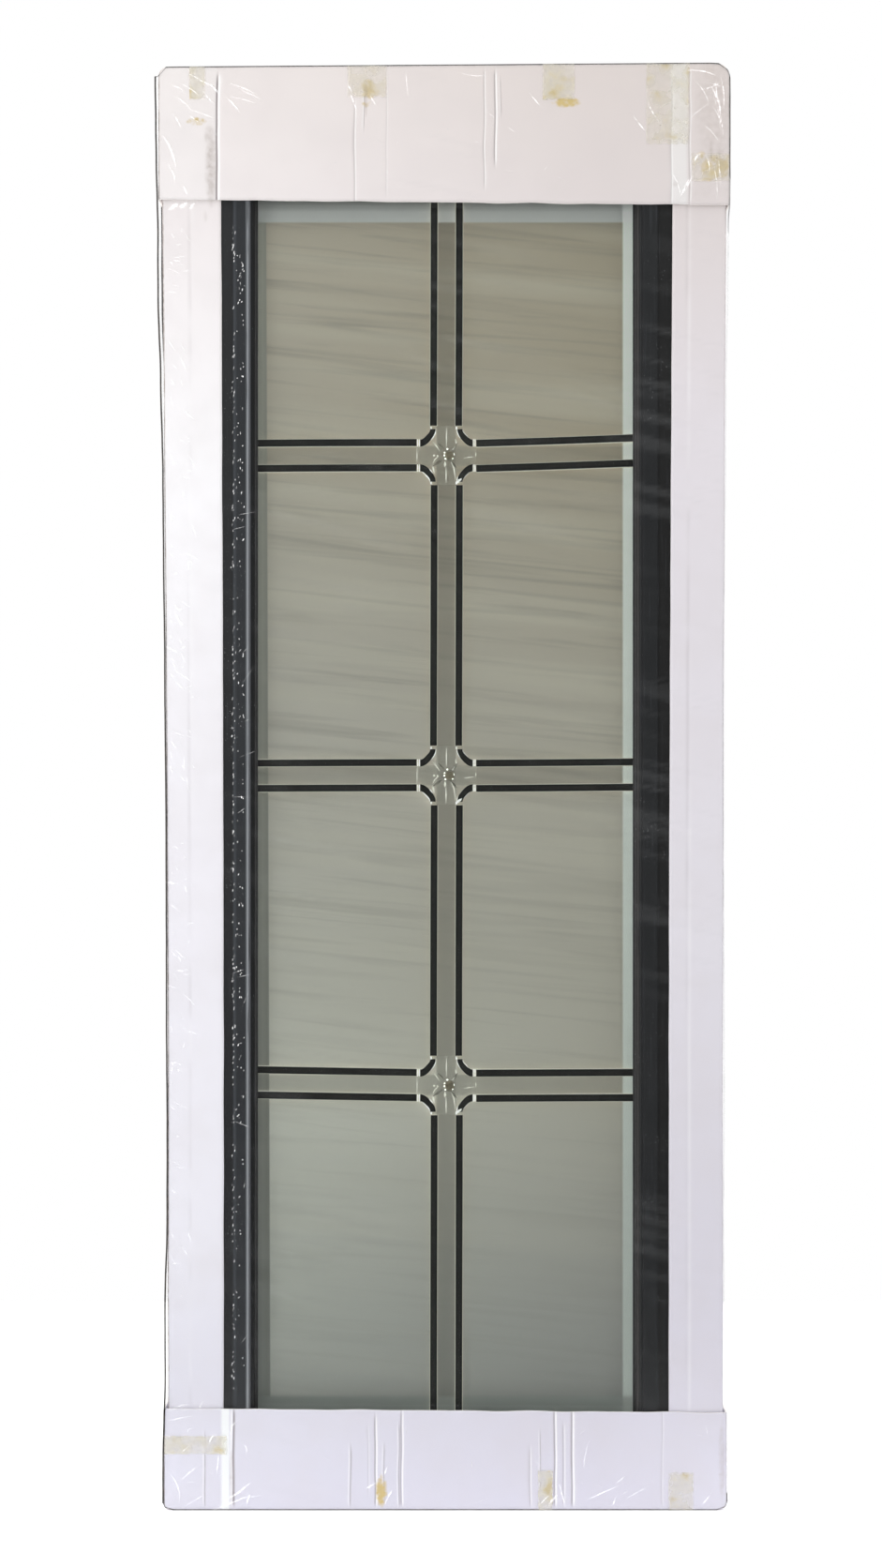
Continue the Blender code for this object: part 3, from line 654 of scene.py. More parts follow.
def add_lip(bm, centre, start, way, lip, front, back, finish_index):
    """A thin curved lip beside an arc: its side, first and last degrees from the upright, and width."""
    side, first, last, width = lip
    rows = []
    steps = 14
    for i in range(steps + 1):
        share = i / steps
        degrees = first + (last - first) * share
        angle = math.radians(start + way * degrees)
        half = width / 2 * (0.35 + 0.65 * math.sin(math.pi * share))
        radius, arc_width = arc_line(degrees / 90)
        beside = arc_width / 2 - 0.0004 + width / 2
        bent = radius - beside if side == "pane" else radius + beside
        c, s = math.cos(angle), math.sin(angle)
        corners = ((bent - half, front), (bent + half, front), (bent + half, back), (bent - half, back))
        rows.append([bm.verts.new((centre[0] + r * c, y, centre[1] + r * s)) for r, y in corners])
    skin(bm, rows, closed=True, finish_index=finish_index)
    for row in (rows[0], rows[-1]):
        bm.faces.new(row).material_index = finish_index


def cross_height(x, z):
    """How far the front of a clear cross stands back from its face: four petals round a low hub."""
    distance = math.hypot(x, z)
    petal = 0.5 + 0.5 * math.cos(4 * math.atan2(z, x))
    hub = smooth_step(1 - distance / 0.01)
    return 0.0002 + 0.0014 * petal * smooth_step(1 - distance / 0.04) + 0.0012 * hub


# Ridges in a cross's moulding, drawn with a painted highlight, in metres from its middle: the line's points,
# then its width
CROSS_RIDGES = (
    (((-0.02, 0.02), (-0.015, 0.014), (-0.0095, 0.006)), 0.0013),
    (((0.013, 0.024), (0.014, 0.019), (0.015, 0.017)), 0.0016),
    (((0.007, 0.005), (0.01, 0.0095), (0.0125, 0.0135)), 0.0014),
    (((-0.0175, -0.026), (-0.019, -0.02), (-0.02, -0.016)), 0.0022),
    (((-0.02, -0.012), (-0.017, -0.006), (-0.011, -0.001)), 0.0012),
    (((0.007, -0.0095), (0.011, -0.019), (0.013, -0.036)), 0.0013),
    (((0.0, 0.04), (0.0, 0.028), (0.0, 0.013)), 0.0013), (((-0.002, -0.009), (-0.0022, -0.017)), 0.0026),
    (((-0.0006, -0.017), (-0.0004, -0.04)), 0.0013), (((-0.018, -0.0016), (-0.018, 0.0012)), 0.003),
    (((-0.013, -0.002), (-0.013, 0.0006)), 0.0018), (((0.043, -0.002), (0.043, 0.005)), 0.0012),
    (((-0.043, -0.011), (-0.043, 0.011)), 0.0009), (((0.04, -0.002), (0.025, -0.004)), 0.001),
)
# Dark lines of painted shade along the grooves between the petals, drawn as low ridges: the line's points,
# then its width
CROSS_GROOVE_SHADES = (
    (((0.008, 0.006), (0.0165, 0.0185)), 0.0028), (((-0.006, -0.006), (-0.02, -0.016)), 0.003),
    (((0.006, -0.008), (0.015, -0.018)), 0.0026), (((-0.004, 0.01), (-0.012, 0.018)), 0.0022),
)


# Lips beside each arc, bright with a painted highlight: their side, where they start and end in degrees from
# the upright, and width
LIPS = {
    (1, 1): (("cross", 0, 34, 0.0012), ("pane", 5, 62, 0.0006)),
    (-1, 1): (("cross", 0, 44, 0.0012),),
    (-1, -1): (("pane", 0, 76, 0.0016), ("cross", 34, 54, 0.0012)),
    (1, -1): (("cross", 0, 18, 0.0012), ("pane", 20, 70, 0.0004)),
}
# The wide painted glint at the upright's end of the lower right arc, from the arc's centre
LOWER_RIGHT_GLINT = ((-0.024, -0.0026), (-0.0212, 0.003), (-0.016, 0.0052), (-0.0166, 0.0022), (-0.0205, -0.0008))


def add_ridge(bm, middle, height, points, width, face_y, finish_index):
    """A low pointed ridge along a line on a cross."""
    line = [Vector((middle + x, face_y, height + z)) for x, z in points]
    if len(line) == 2:
        line.insert(1, (line[0] + line[1]) / 2)
    last = len(line) - 1
    rows = []
    for i, point in enumerate(line):
        along = (line[min(i + 1, last)] - line[max(i - 1, 0)]).normalized()
        across = Vector((-along.z, 0.0, along.x))
        half = 0.65 * width * (0.25 if i in (0, last) else 1.0)
        crest = point + Vector((0.0, -0.0003, 0.0))
        rows.append([bm.verts.new(spot) for spot in (point - across * half, crest, point + across * half)])
    skin(bm, rows, finish_index=finish_index)


def dress_crosses():
    """Clear moulded crosses with petals, lips with painted highlights beside the arcs, and a clip at every
    bar's end.
    """
    middle = BAR_CENTRE
    front, back = BAR_FRONT_FACE + 0.0002, BAR_BACK_FACE - 0.0002
    spokes, rings = 96, 10
    for crossing, height in CROSSINGS:
        bm = bmesh.new()
        grid = []
        for i in range(spokes):
            angle = 2 * math.pi * i / spokes
            c, s = math.cos(angle), math.sin(angle)
            edge = edge_of_cross(c, s)
            row = []
            for j in range(1, rings + 1):
                x, z = c * edge * j / rings, s * edge * j / rings
                row.append(bm.verts.new((middle + x, front + cross_height(x, z), height + z)))
            row.append(bm.verts.new((middle + c * edge, back, height + s * edge)))
            grid.append(row)
        hub = bm.verts.new((middle, front + cross_height(0.0, 0.0), height))
        for i in range(spokes):
            here, following = grid[i], grid[(i + 1) % spokes]
            bm.faces.new((hub, following[0], here[0]))
            for j in range(rings):
                bm.faces.new((here[j], following[j], following[j + 1], here[j + 1]))
        bm.faces.new([row[-1] for row in grid])
        for sign_x, sign_z in ((1, 1), (-1, 1), (-1, -1), (1, -1)):
            start = math.degrees(math.atan2(-sign_z, -sign_x)) - 45
            spot = (middle + sign_x * ARC_CENTRE, height + sign_z * ARC_CENTRE)
            from_upright = (start, 1) if sign_x * sign_z > 0 else (start + 90, -1)
            for lip in LIPS[(sign_x, sign_z)]:
                add_lip(bm, spot, *from_upright, lip, front - 0.0006, back, 1)
            if (sign_x, sign_z) == (1, -1):
                add_block(bm, [(spot[0] + x, spot[1] + z) for x, z in LOWER_RIGHT_GLINT], front - 0.0008, back, 1)
            for across_bar in (True, False):
                add_clips(bm, middle, height, sign_x, sign_z, across_bar)
        bmesh.ops.recalc_face_normals(bm, faces=bm.faces)
        for finish_index, lines in ((2, CROSS_RIDGES), (3, CROSS_GROOVE_SHADES)):
            for points, width in lines:
                add_ridge(bm, middle, height, points, width, front - 0.0002, finish_index)
        finishes = [ACRYLIC, ACRYLIC_EDGE_HIGHLIGHT, ACRYLIC_RIDGE_HIGHLIGHT, ACRYLIC_GROOVE_SHADE]
        cross = make_piece(f"cross_{crossing}_moulded", bm, finishes, smooth=False)
        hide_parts("cross_connector_" + crossing)


def edge_of_cross(c, s):
    """How far out a cross reaches in a direction: to an arm's end or side, or to the arc in its hollow."""
    hollow = ARC_MIDDLE + ARC_WIDTH / 2 + 0.0003
    arm = BAR_SPACING / 2 - BAR_WIDTH / 2 + 0.0015
    c, s = abs(c), abs(s)
    long_way, short_way = max(c, s), min(c, s)
    limit = (ARC_CENTRE + CLIP_LENGTH) / long_way
    if short_way * limit > arm:
        limit = arm / short_way
    along = ARC_CENTRE * (c + s)
    rest = along * along - (2 * ARC_CENTRE * ARC_CENTRE - hollow * hollow)
    if rest > 0 and along - math.sqrt(rest) > 0.01:
        limit = min(limit, along - math.sqrt(rest))
    return limit


def add_clips(bm, middle, height, sign_x, sign_z, across_bar):
    """The split clip that holds one bar's end: two strips with a white painted highlight on a cross bar, one
    grey on an upright with a painted highlight at its left side.
    """
    near = BAR_SPACING / 2 - BAR_WIDTH / 2
    far = BAR_SPACING / 2 + BAR_WIDTH / 2
    front, back = BAR_FRONT_FACE - 0.0002, BAR_BACK_FACE + 0.0002
    strips = ((0.0004, 0.0017, 1), (0.0029, 0.0042, 1)) if across_bar else ((0.0004, 0.0042, 0),)
    for low, high, finish_index in strips:
        u0, u1 = ARC_CENTRE + low, ARC_CENTRE + high
        corners = [(u0, near), (u1, near), (u1, far), (u0, far)]
        if not across_bar:
            corners = [(v, u) for u, v in corners]
        outline = [(middle + sign_x * x, height + sign_z * z) for x, z in corners]
        add_block(bm, outline, front, back, finish_index)
    # A painted highlight at the left side of an upright's clip
    if not across_bar:
        left = -far if sign_x < 0 else near
        right, top = left + 0.0022, ARC_CENTRE + 0.0034
        corners = [(left, ARC_CENTRE), (right, ARC_CENTRE), (right, top), (left, top)]
        outline = [(middle + x, height + sign_z * z) for x, z in corners]
        add_block(bm, outline, front - 0.0002, back, 1)


def dress_crystals():
    """Brilliant-cut crystals: a table, two rows of crown facets, a girdle and small facets with painted
    glints.
    """
    # They sit 3.4 mm to the right of the crossing, with the table further over
    middle = BAR_CENTRE + 0.0034
    sides = 12
    # Radius, depth, turn in facets, shift to the right
    rows = (
        (0.0079, -0.0062, 0.0, 0.0), (0.0086, -0.0066, 0.0, 0.0006), (0.007, -0.0078, 0.5, 0.0016),
        (0.0052, -0.0086, 0.0, 0.0024),
    )
    # Facets with painted glints: direction in degrees, distance out, length, width
    glints = (
        (104, 0.009, 0.0034, 0.003), (150, 0.007, 0.003, 0.0024), (184, 0.0064, 0.0034, 0.0024),
        (228, 0.0074, 0.0034, 0.0028), (10, 0.0078, 0.0044, 0.0013), (318, 0.0076, 0.003, 0.0018),
    )
    for crossing, height in CROSSINGS:
        bm = bmesh.new()
        rings = []
        for radius, y, turn, shift in rows:
            ring = []
            for i in range(sides):
                angle = 2 * math.pi * (i + turn) / sides
                x, z = shift + radius * math.cos(angle), radius * math.sin(angle)
                ring.append(bm.verts.new((middle + x, y, height + z)))
            rings.append(ring)
        lower, girdle, crown, table = rings
        bm.faces.new(list(reversed(table)))
        bm.faces.new(lower)
        for i in range(sides):
            j = (i + 1) % sides
            bm.faces.new((lower[i], lower[j], girdle[j], girdle[i])).material_index = 1
            bm.faces.new((girdle[i], girdle[j], crown[i])).material_index = 1
            bm.faces.new((crown[i], girdle[j], crown[j])).material_index = 1
            bm.faces.new((crown[i], crown[j], table[j]))
            bm.faces.new((table[i], crown[i], table[j]))
        bmesh.ops.recalc_face_normals(bm, faces=bm.faces)
        for degrees, distance, length, width in glints:
            angle = math.radians(degrees)
            out = Vector((math.cos(angle), 0.0, math.sin(angle)))
            along = Vector((-out.z, 0.0, out.x))
            centre = Vector((middle, -0.0089, height)) + out * distance
            spots = (along * length / 2, out * width / 2, along * -length / 2, out * -width / 2)
            bm.faces.new([bm.verts.new(centre + spot) for spot in spots]).material_index = 2
        facets = [CRYSTAL, CRYSTAL_CLEAR, CRYSTAL_LIT]
        crystal = make_piece(f"crystal_{crossing}_cut", bm, facets, smooth=False)
        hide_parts("crystal_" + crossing)


# Folds in the boards: x, lowest and highest z, half width, strength of the dent and of its painted light and
# shade; a minus sign puts the painted dark side first
TOP_FOLDS = (
    (0.0702, 1.88, 2.076, 0.003, 1.5), (0.269, 1.89, 2.037, 0.002, 0.55), (0.2815, 2.0, 2.07, 0.0016, -0.6),
    (0.315, 1.905, 2.08, 0.0018, 0.25), (0.4566, 1.915, 2.088, 0.0018, 0.6),
    (0.4724, 1.95, 2.084, 0.0024, 0.9), (0.479, 2.02, 2.072, 0.0016, -0.5),
    (0.7289, 1.89, 2.06, 0.002, 0.45), (0.7547, 1.89, 2.085, 0.0022, 0.5),
)
BOTTOM_FOLDS = (
    (0.0502, -0.002, 0.108, 0.0022, -0.6), (0.0915, -0.002, 0.142, 0.0034, -1.0),
    (0.261, -0.002, 0.088, 0.0024, -0.6), (0.2882, 0.02, 0.118, 0.0016, 0.3),
    (0.2991, 0.0, 0.132, 0.0024, 0.9), (0.31, 0.01, 0.09, 0.0022, -0.5),
    (0.337, -0.002, 0.14, 0.0026, 0.8), (0.332, -0.002, 0.12, 0.002, -0.6),
    (0.5235, -0.002, 0.086, 0.0022, 0.5),
    (0.537, 0.0, 0.11, 0.0018, -0.5), (0.5594, -0.002, 0.142, 0.0026, 0.9), (0.572, 0.005, 0.12, 0.0024, 0.5),
    (0.5847, -0.002, 0.142, 0.0028, 0.9), (0.715, -0.002, 0.142, 0.002, 0.25),
)
GUARD_FOLDS = ((0.753, 0.14, 1.9, 0.0026, 0.22), (0.03, 0.14, 1.9, 0.003, 0.18))
# Stains: x, z, half width, half height, amount
GLUE_STAINS = (
    (0.0386, 2.01, 0.014, 0.006, 0.9), (0.289, 2.057, 0.011, 0.013, 1.0), (0.286, 2.035, 0.008, 0.005, 0.7),
    (0.576, 2.038, 0.019, 0.007, 1.1), (0.574, 2.072, 0.018, 0.005, 0.7), (0.793, 1.944, 0.024, 0.016, 0.9),
    (0.772, 1.962, 0.008, 0.006, 0.7), (0.007, 0.0976, 0.003, 0.01, 0.9), (0.307, 0.025, 0.008, 0.022, 0.95),
    (0.705, 2.05, 0.016, 0.003, 0.6), (0.55, 0.053, 0.005, 0.003, 0.7),
)
DIRT_STAINS = (
    (0.06, 1.945, 0.007, 0.048, 0.75), (0.056, 1.99, 0.005, 0.012, 0.6), (0.053, 1.874, 0.002, 0.01, 0.7),
    (0.285, 2.045, 0.002, 0.024, 0.8), (0.786, 1.97, 0.003, 0.02, 0.6), (0.799, 1.952, 0.006, 0.022, 0.5),
    (0.801, 0.07, 0.004, 0.05, 0.5), (0.09, 0.045, 0.003, 0.04, 0.5), (0.733, 1.919, 0.003, 0.004, 0.6),
    (0.79, 2.03, 0.024, 0.08, 0.34), (0.782, 1.91, 0.03, 0.012, 0.2),
)


def fold_at(x, z, folds):
    """How deep folds press the board in at a spot, and how much painted light (+) or painted shade (-) it
    gets there.
    """
    depth, shade = 0.0, 0.0
    for place, low, high, width, strength in folds:
        if abs(x - place) > 4 * width or not low - 0.02 < z < high + 0.02:
            continue
        fade = smooth_step((z - low) / 0.02 + 0.5) * smooth_step((high - z) / 0.02 + 0.5)
        wander = 0.0012 * wobble(place, z, 0.05, 7.0)
        offset = (x - place - wander) / (0.7 * width)
        depth += 0.0005 * abs(strength) * fade * math.exp(-offset * offset)
        lit, dark = math.exp(-((offset - 0.6) * 1.5) ** 2), math.exp(-((offset + 0.7) * 1.5) ** 2)
        shade += strength * fade * (lit - 0.8 * dark)
    return depth, shade


def stain_at(x, z, stains):
    """How stained the board is at a spot."""
    amount = 0.0
    for middle_x, middle_z, half_x, half_z, strength in stains:
        far = ((x - middle_x) / half_x) ** 2 + ((z - middle_z) / half_z) ** 2
        if far < 6:
            amount = max(amount, strength * math.exp(-0.5 * far * far))
    return amount


def lap_at(x, z):
    """Where another sheet laps over a cap and makes it whiter: how much at a spot."""
    if z > 1.0:
        strip = smooth_step((x - 0.726) / 0.0016) * smooth_step((0.754 - x) / 0.004)
        return 0.12 * smooth_step((0.0698 - x) / 0.001) + 0.38 * strip
    inner = smooth_step((x - 0.0735) / 0.001)
    return 0.75 * inner * smooth_step((0.0872 - x) / 0.001)


def spaced(low, high, pitch, folds):
    """Places from low to high about a pitch apart, with more of them at the folds."""
    count = max(2, round((high - low) / pitch))
    places = [low + (high - low) * i / count for i in range(count + 1)]
    for place, _, _, width, _ in folds:
        for k in range(-4, 5):
            extra = place + k * 0.3 * width
            if low + 0.001 < extra < high - 0.001:
                places.append(extra)
    places.sort()
    kept = [places[0]]
    for place in places[1:]:
        if place - kept[-1] > 0.0004:
            kept.append(place)
    kept[-1] = high
    return kept


class Cap:
    """A folded cap over the head or foot of the leaf: where its open edge, closed edge and sides run."""

    def __init__(self, left, right, open_edge, closed_edge, slant, corners):
        self.left, self.right = left, right
        self.open_edge, self.closed_edge, self.slant = open_edge, closed_edge, slant
        self.corners = corners
        self.up = 1.0 if closed_edge > open_edge[0] else -1.0

    def open_at(self, x):
        share = (x - self.left) / (self.right - self.left)
        return self.open_edge[0] + (self.open_edge[1] - self.open_edge[0]) * share

    def closed_at(self, x, inset=0.0):
        """The closed edge's height at a place, and which way it faces there."""
        share = (x - self.left) / (self.right - self.left)
        flat = self.closed_edge + self.slant * share - self.up * inset
        for side, radius, edge in ((1, self.corners[0], self.left), (-1, self.corners[1], self.right)):
            into = side * (x - edge)
            if into < radius:
                small = radius - inset
                run = min(small, max(0.0, radius - into))
                rise = math.sqrt(max(0.0, small * small - run * run))
                return flat - self.up * (small - rise), (-side * run / small, self.up * rise / small)
        return flat, (0.0, self.up)


TOP_CAP = Cap(-0.0165, 0.813, (1.897, 1.889), 2.0893, 0.006, (0.014, 0.022))
BOTTOM_CAP = Cap(-0.009, 0.8085, (0.144, 0.138), -0.0033, 0.0, (0.01, 0.013))
EDGE_STEPS = 4


def make_cap(name, node_name, cap, folds):
    """A cap of folded board: creased front and back panels and a rounded edge, open towards the glass."""
    bend = BOARD_BEND
    inner_left, inner_right = cap.left + bend, cap.right - bend
    columns = spaced(inner_left, inner_right, 0.0042, folds)
    for side, corner, edge in ((1, cap.corners[0], inner_left), (-1, cap.corners[1], inner_right)):
        columns += [edge + side * (corner - bend) * (1 - math.cos(math.pi / 2 * k / 8)) for k in range(1, 8)]
    columns = sorted(set(round(x, 6) for x in columns))
    rows = 44
    bm = bmesh.new()
    fold_layer, glue_layer, dirt_and_edge_shade_layer, lap_layer = [
        bm.verts.layers.float.new(layer) for layer in ("fold", "glue", "dirt_and_edge_shade", "lap")
    ]

    def place_vertex(x, y, z, side, spread):
        depth, shade = fold_at(x, z, folds)
        swell = 0.00025 * wobble(x, z, 0.07, side * 3.0) + 0.0004 * wobble(x, z, 0.25, side * 5.0)
        vert = bm.verts.new((x, y + side * (depth + abs(swell)) * spread, z))
        vert[fold_layer] = shade * spread
        if side > 0:
            vert[glue_layer] = stain_at(x, z, GLUE_STAINS)
            vert[dirt_and_edge_shade_layer] = stain_at(x, z, DIRT_STAINS)
            vert[lap_layer] = lap_at(x, z)
        return vert

    rims = []
    for side in (1, -1):
        grid = []
        for x in columns:
            low = cap.open_at(x) + 0.0012 * wobble(x, 0.0, 0.05, side * 9.0)
            high, _ = cap.closed_at(x, bend)
            column = []
            for j in range(rows + 1):
                share = j / rows
                spread = smooth_step((1 - share) * 14)
                column.append(place_vertex(x, -side * CAP_FACE, low + (high - low) * share, side, spread))
            grid.append(column)
        for first, second in zip(grid, grid[1:]):
            for j in range(rows):
                bm.faces.new((first[j], second[j], second[j + 1], first[j + 1]))
        rims.append(grid[0] + [column[-1] for column in grid[1:-1]] + grid[-1][::-1])
    near, far = rims
    facing = [(-1.0, 0.0)] * (rows + 1)
    facing += [cap.closed_at(x, bend)[1] for x in columns[1:-1]]
    facing += [(1.0, 0.0)] * (rows + 1)
    # Steps round the edge: how far out, how deep, how much painted shade
    levels = []
    for k in range(1, EDGE_STEPS + 1):
        angle = math.pi / 2 * k / EDGE_STEPS
        depth = -CAP_FACE + bend * (1 - math.cos(angle))
        levels.append((bend * math.sin(angle), depth, 1.0 - k / (EDGE_STEPS + 2)))
    flat = [(bend, -CAP_FACE + bend + (2 * CAP_FACE - 2 * bend) * k / 6, 0.15) for k in range(1, 6)]
    levels += flat + [(offset, -y, edge_shade) for offset, y, edge_shade in reversed(levels)]
    rings = [near]
    for offset, y, edge_shade in levels:
        ring = []
        for vert, (out_x, out_z) in zip(near, facing):
            x, z = vert.co.x + out_x * offset, vert.co.z + out_z * offset
            new = bm.verts.new((x, y, z))
            # The painted edge shade is stronger everywhere but at the foot's right end
            shadier = 1.9 if x < 0.7 or z > 1.0 else 1.0
            new[dirt_and_edge_shade_layer] = edge_shade * (0.75 + 0.5 * wobble(x, z, 0.03, 2.0)) * shadier
            ring.append(new)
        rings.append(ring)
    skin(bm, rings + [far])
    bmesh.ops.recalc_face_normals(bm, faces=bm.faces)
    board_piece(name, bm, node_name)


def board_piece(name, bm, node_name):
    """A piece of board in place of a plain one, thickened inwards, with bare paper at its cut edge."""
    bm.normal_update()
    bm.faces.ensure_lookup_table()
    if bm.faces[0].normal.y > 0:
        bmesh.ops.reverse_faces(bm, faces=bm.faces)
    piece = make_piece(name, bm, [BOARD, BOARD_EDGE])
    solid = piece.modifiers.new("board", "SOLIDIFY")
    solid.thickness = BOARD_THICKNESS
    solid.offset = -1.0
    solid.material_offset_rim = 1
    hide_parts(node_name)


def grown(z, full):
    """A measure that is nothing low down on a side guard and grows to its full size at the guard's top."""
    share = max(0.0, (z - FLARE_START) / (GUARD_ENDS[1] - FLARE_START))
    return full * share ** 1.5


def make_guard(name, node_name, side, flange, flare, opening):
    """A channel of folded board over a long edge, wavy where it was cut."""
    bend = BOARD_BEND
    bm = bmesh.new()
    fold_layer, _, dirt_and_edge_shade_layer = [bm.verts.layers.float.new(layer) for layer in ("fold", "glue", "dirt_and_edge_shade")]
    count, flat_steps = 260, 18
    rings = []
    for k in range(count + 1):
        z = GUARD_ENDS[0] + (GUARD_ENDS[1] - GUARD_ENDS[0]) * k / count
        web = -WEB_CLEARANCE - grown(z, flare) + 0.0006 * wobble(0.3 * side, z, 0.2, 3.0)
        if side > 0:
            web = LEAF_WIDTH - web
        edge = flange + side * (grown(z, opening) + 0.0006 * wobble(0.1, z, 0.09, 6.0 + side))
        # Across, deep and how much painted shade: the flat flange, then the bend
        half = []
        for i in range(flat_steps + 1):
            half.append((edge + (web + side * -bend - edge) * (i / flat_steps), -GUARD_FACE, 0.0))
        for i in range(1, EDGE_STEPS + 1):
            angle = math.pi / 2 * i / EDGE_STEPS
            x = web - side * bend * (1 - math.sin(angle))
            half.append((x, -GUARD_FACE + bend * (1 - math.cos(angle)), 1.0 - i / (EDGE_STEPS + 2)))
        ring = []
        for x, y, edge_shade in half + [(web, 0.0, 0.1)] + [(x, -y, edge_shade) for x, y, edge_shade in reversed(half)]:
            front = 1.0 if y < 0 else -1.0
            lift, shade = 0.0, 0.0
            if edge_shade == 0.0:
                depth, shade = fold_at(x, z, GUARD_FOLDS)
                lift = (0.5 * depth + 0.0003 * abs(wobble(x, z, 0.12, front * 4.0))) * front
            vert = bm.verts.new((x, y + lift, z))
            vert[fold_layer] = shade
            dirt_and_edge_shade = stain_at(x, z, DIRT_STAINS) if y < 0 else 0.0
            # Painted shade round the bend, stronger on the left guard than on the right one
            edge_shaded = edge_shade * (0.8 + 0.5 * wobble(x, z, 0.03, 2.0)) * (1.9 if side < 0 else 0.6)
            vert[dirt_and_edge_shade_layer] = max(dirt_and_edge_shade, edge_shaded)
            ring.append(vert)
        rings.append(ring)
    skin(bm, rings)
    board_piece(name, bm, node_name)


def make_tape(name, edge_point, span, front_length, back_length, finish):
    """A strip of tape folded over a cap's edge; edge_point gives the edge's place and its inward way."""
    bend = BOARD_BEND
    # The board swells by up to 0.65 mm on its faces, so the tape lies higher there than round the edge
    edge_lift, lift = 0.0002, 0.0007
    front_steps, back_steps, steps = 14, 8, 24
    profile = []
    for i in range(front_steps + 1):
        profile.append((bend + (front_length - bend) * (1 - i / front_steps), -CAP_FACE - lift, i == 0))
    for i in range(1, EDGE_STEPS + 1):
        angle = math.pi / 2 * i / EDGE_STEPS
        out = bend + edge_lift + (lift - edge_lift) * math.cos(angle)
        profile.append((bend - out * math.sin(angle), -CAP_FACE + bend - out * math.cos(angle), False))
    profile += [(u, -y, False) for u, y, _ in reversed(profile[front_steps:])]
    for i in range(1, back_steps + 1):
        profile.append((bend + (back_length - bend) * i / back_steps, CAP_FACE + lift, i == back_steps))
    bm = bmesh.new()
    held_layer = bm.verts.layers.float.new("held")
    rows = []
    for k in range(steps + 1):
        along = span[0] + (span[1] - span[0]) * k / steps
        (edge_x, edge_z), (in_x, in_z) = edge_point(along)
        row = []
        for u, y, loose_end in profile:
            ragged = 0.0016 * wobble(along, u, 0.006, 8.0) if loose_end else 0.0
            drift = 0.0008 * wobble(0.0, u + along, 0.03, 5.0)
            x = edge_x + in_x * (u + ragged) + abs(in_z) * drift
            z = edge_z + in_z * (u + ragged) + abs(in_x) * drift
            vert = bm.verts.new((x, y, z))
            rim = min(along - span[0], span[1] - along, (front_length if y < 0 else back_length) - u)
            vert[held_layer] = smooth_step(rim / 0.004 + 0.5 + 0.9 * wobble(along, u, 0.007, 2.0))
            row.append(vert)
        rows.append(row)
    skin(bm, rows)
    bmesh.ops.recalc_face_normals(bm, faces=bm.faces)
    make_piece(name, bm, [finish])


# Where tape folds over a board's edge: the edge's place at a measure along it, and its inward way
def over_head(along):
    return (along, TOP_CAP.closed_at(along)[0]), (0.0, -1.0)


def under_foot(along):
    return (along, BOTTOM_CAP.closed_at(along)[0]), (0.0, 1.0)


def round_left_foot(along):
    return (BOTTOM_CAP.left, along), (1.0, 0.0)


def round_right_head(along):
    return (TOP_CAP.right, along), (-1.0, 0.0)


# How far the film stands out on each side: height, left, right
FILM_SIDES = (
    (-0.0033, -0.0108, 0.8094), (0.065, -0.0108, 0.8094), (0.119, -0.0094, 0.809), (0.174, -0.008, 0.8074),
    (0.283, -0.0084, 0.8056), (0.418, -0.0052, 0.8046), (0.554, -0.005, 0.8056), (0.69, -0.006, 0.8056),
    (0.826, -0.0062, 0.8052), (0.963, -0.0066, 0.8044), (1.234, -0.0086, 0.804), (1.37, -0.0103, 0.806),
    (1.506, -0.0114, 0.8074), (1.642, -0.0146, 0.8082), (1.778, -0.0184, 0.811), (1.874, -0.0186, 0.8116),
    (1.914, -0.0192, 0.8134), (1.969, -0.0206, 0.8136), (2.023, -0.0212, 0.8136), (2.096, -0.0222, 0.8136),
)


def pack_side(z, side):
    """How far out the film reaches on one side at a height."""
    index = 1 if side < 0 else 2
    for first, second in zip(FILM_SIDES, FILM_SIDES[1:]):
        if z <= second[0]:
            share = smooth_step((z - first[0]) / (second[0] - first[0]))
            return first[index] + (second[index] - first[index]) * share + 0.0003 * wobble(side, z, 0.04, 6.0)
    return FILM_SIDES[-1][index]


def film_face(x, z, side):
    """How far the film stands from the leaf's middle plane at a spot of its front (+1) or back (-1)."""
    top = smooth_step((z - TOP_CAP.open_edge[0] + 0.04) / 0.038)
    bottom = smooth_step((BOTTOM_CAP.open_edge[0] + 0.04 - z) / 0.038)
    board = GUARD_FACE + (CAP_FACE - GUARD_FACE) * max(top, bottom)
    return board + FILM_LIFT + 0.0003 * wobble(x, z, 0.05, side * 2.0)


def veil_and_sheen_at(x, z, side):
    """How much of the film shows at a spot: a veil with painted sheen, thickest at the left, and streaks of
    painted reflection that fan across it.
    """
    veil_and_sheen = 0.005 + 0.022 * (1 - smooth_step((x - 0.02) / 0.13))
    slant = z + 0.24 * x
    coarse = noise.noise(Vector((x * 5, side * 2.0, slant * 70)))
    fine = noise.noise(Vector((x * 9, side * 5.0, slant * 150)))
    drawn = coarse + 0.5 * fine
    area = smooth_step(0.5 + 1.6 * noise.noise(Vector((x * 3.1, side * 7.0, z * 2.3))))
    rightwards = 0.35 + 0.65 * smooth_step((x - 0.11) / 0.05)
    return veil_and_sheen + 0.026 * area * smooth_step((drawn - 0.05) / 0.55) * rightwards


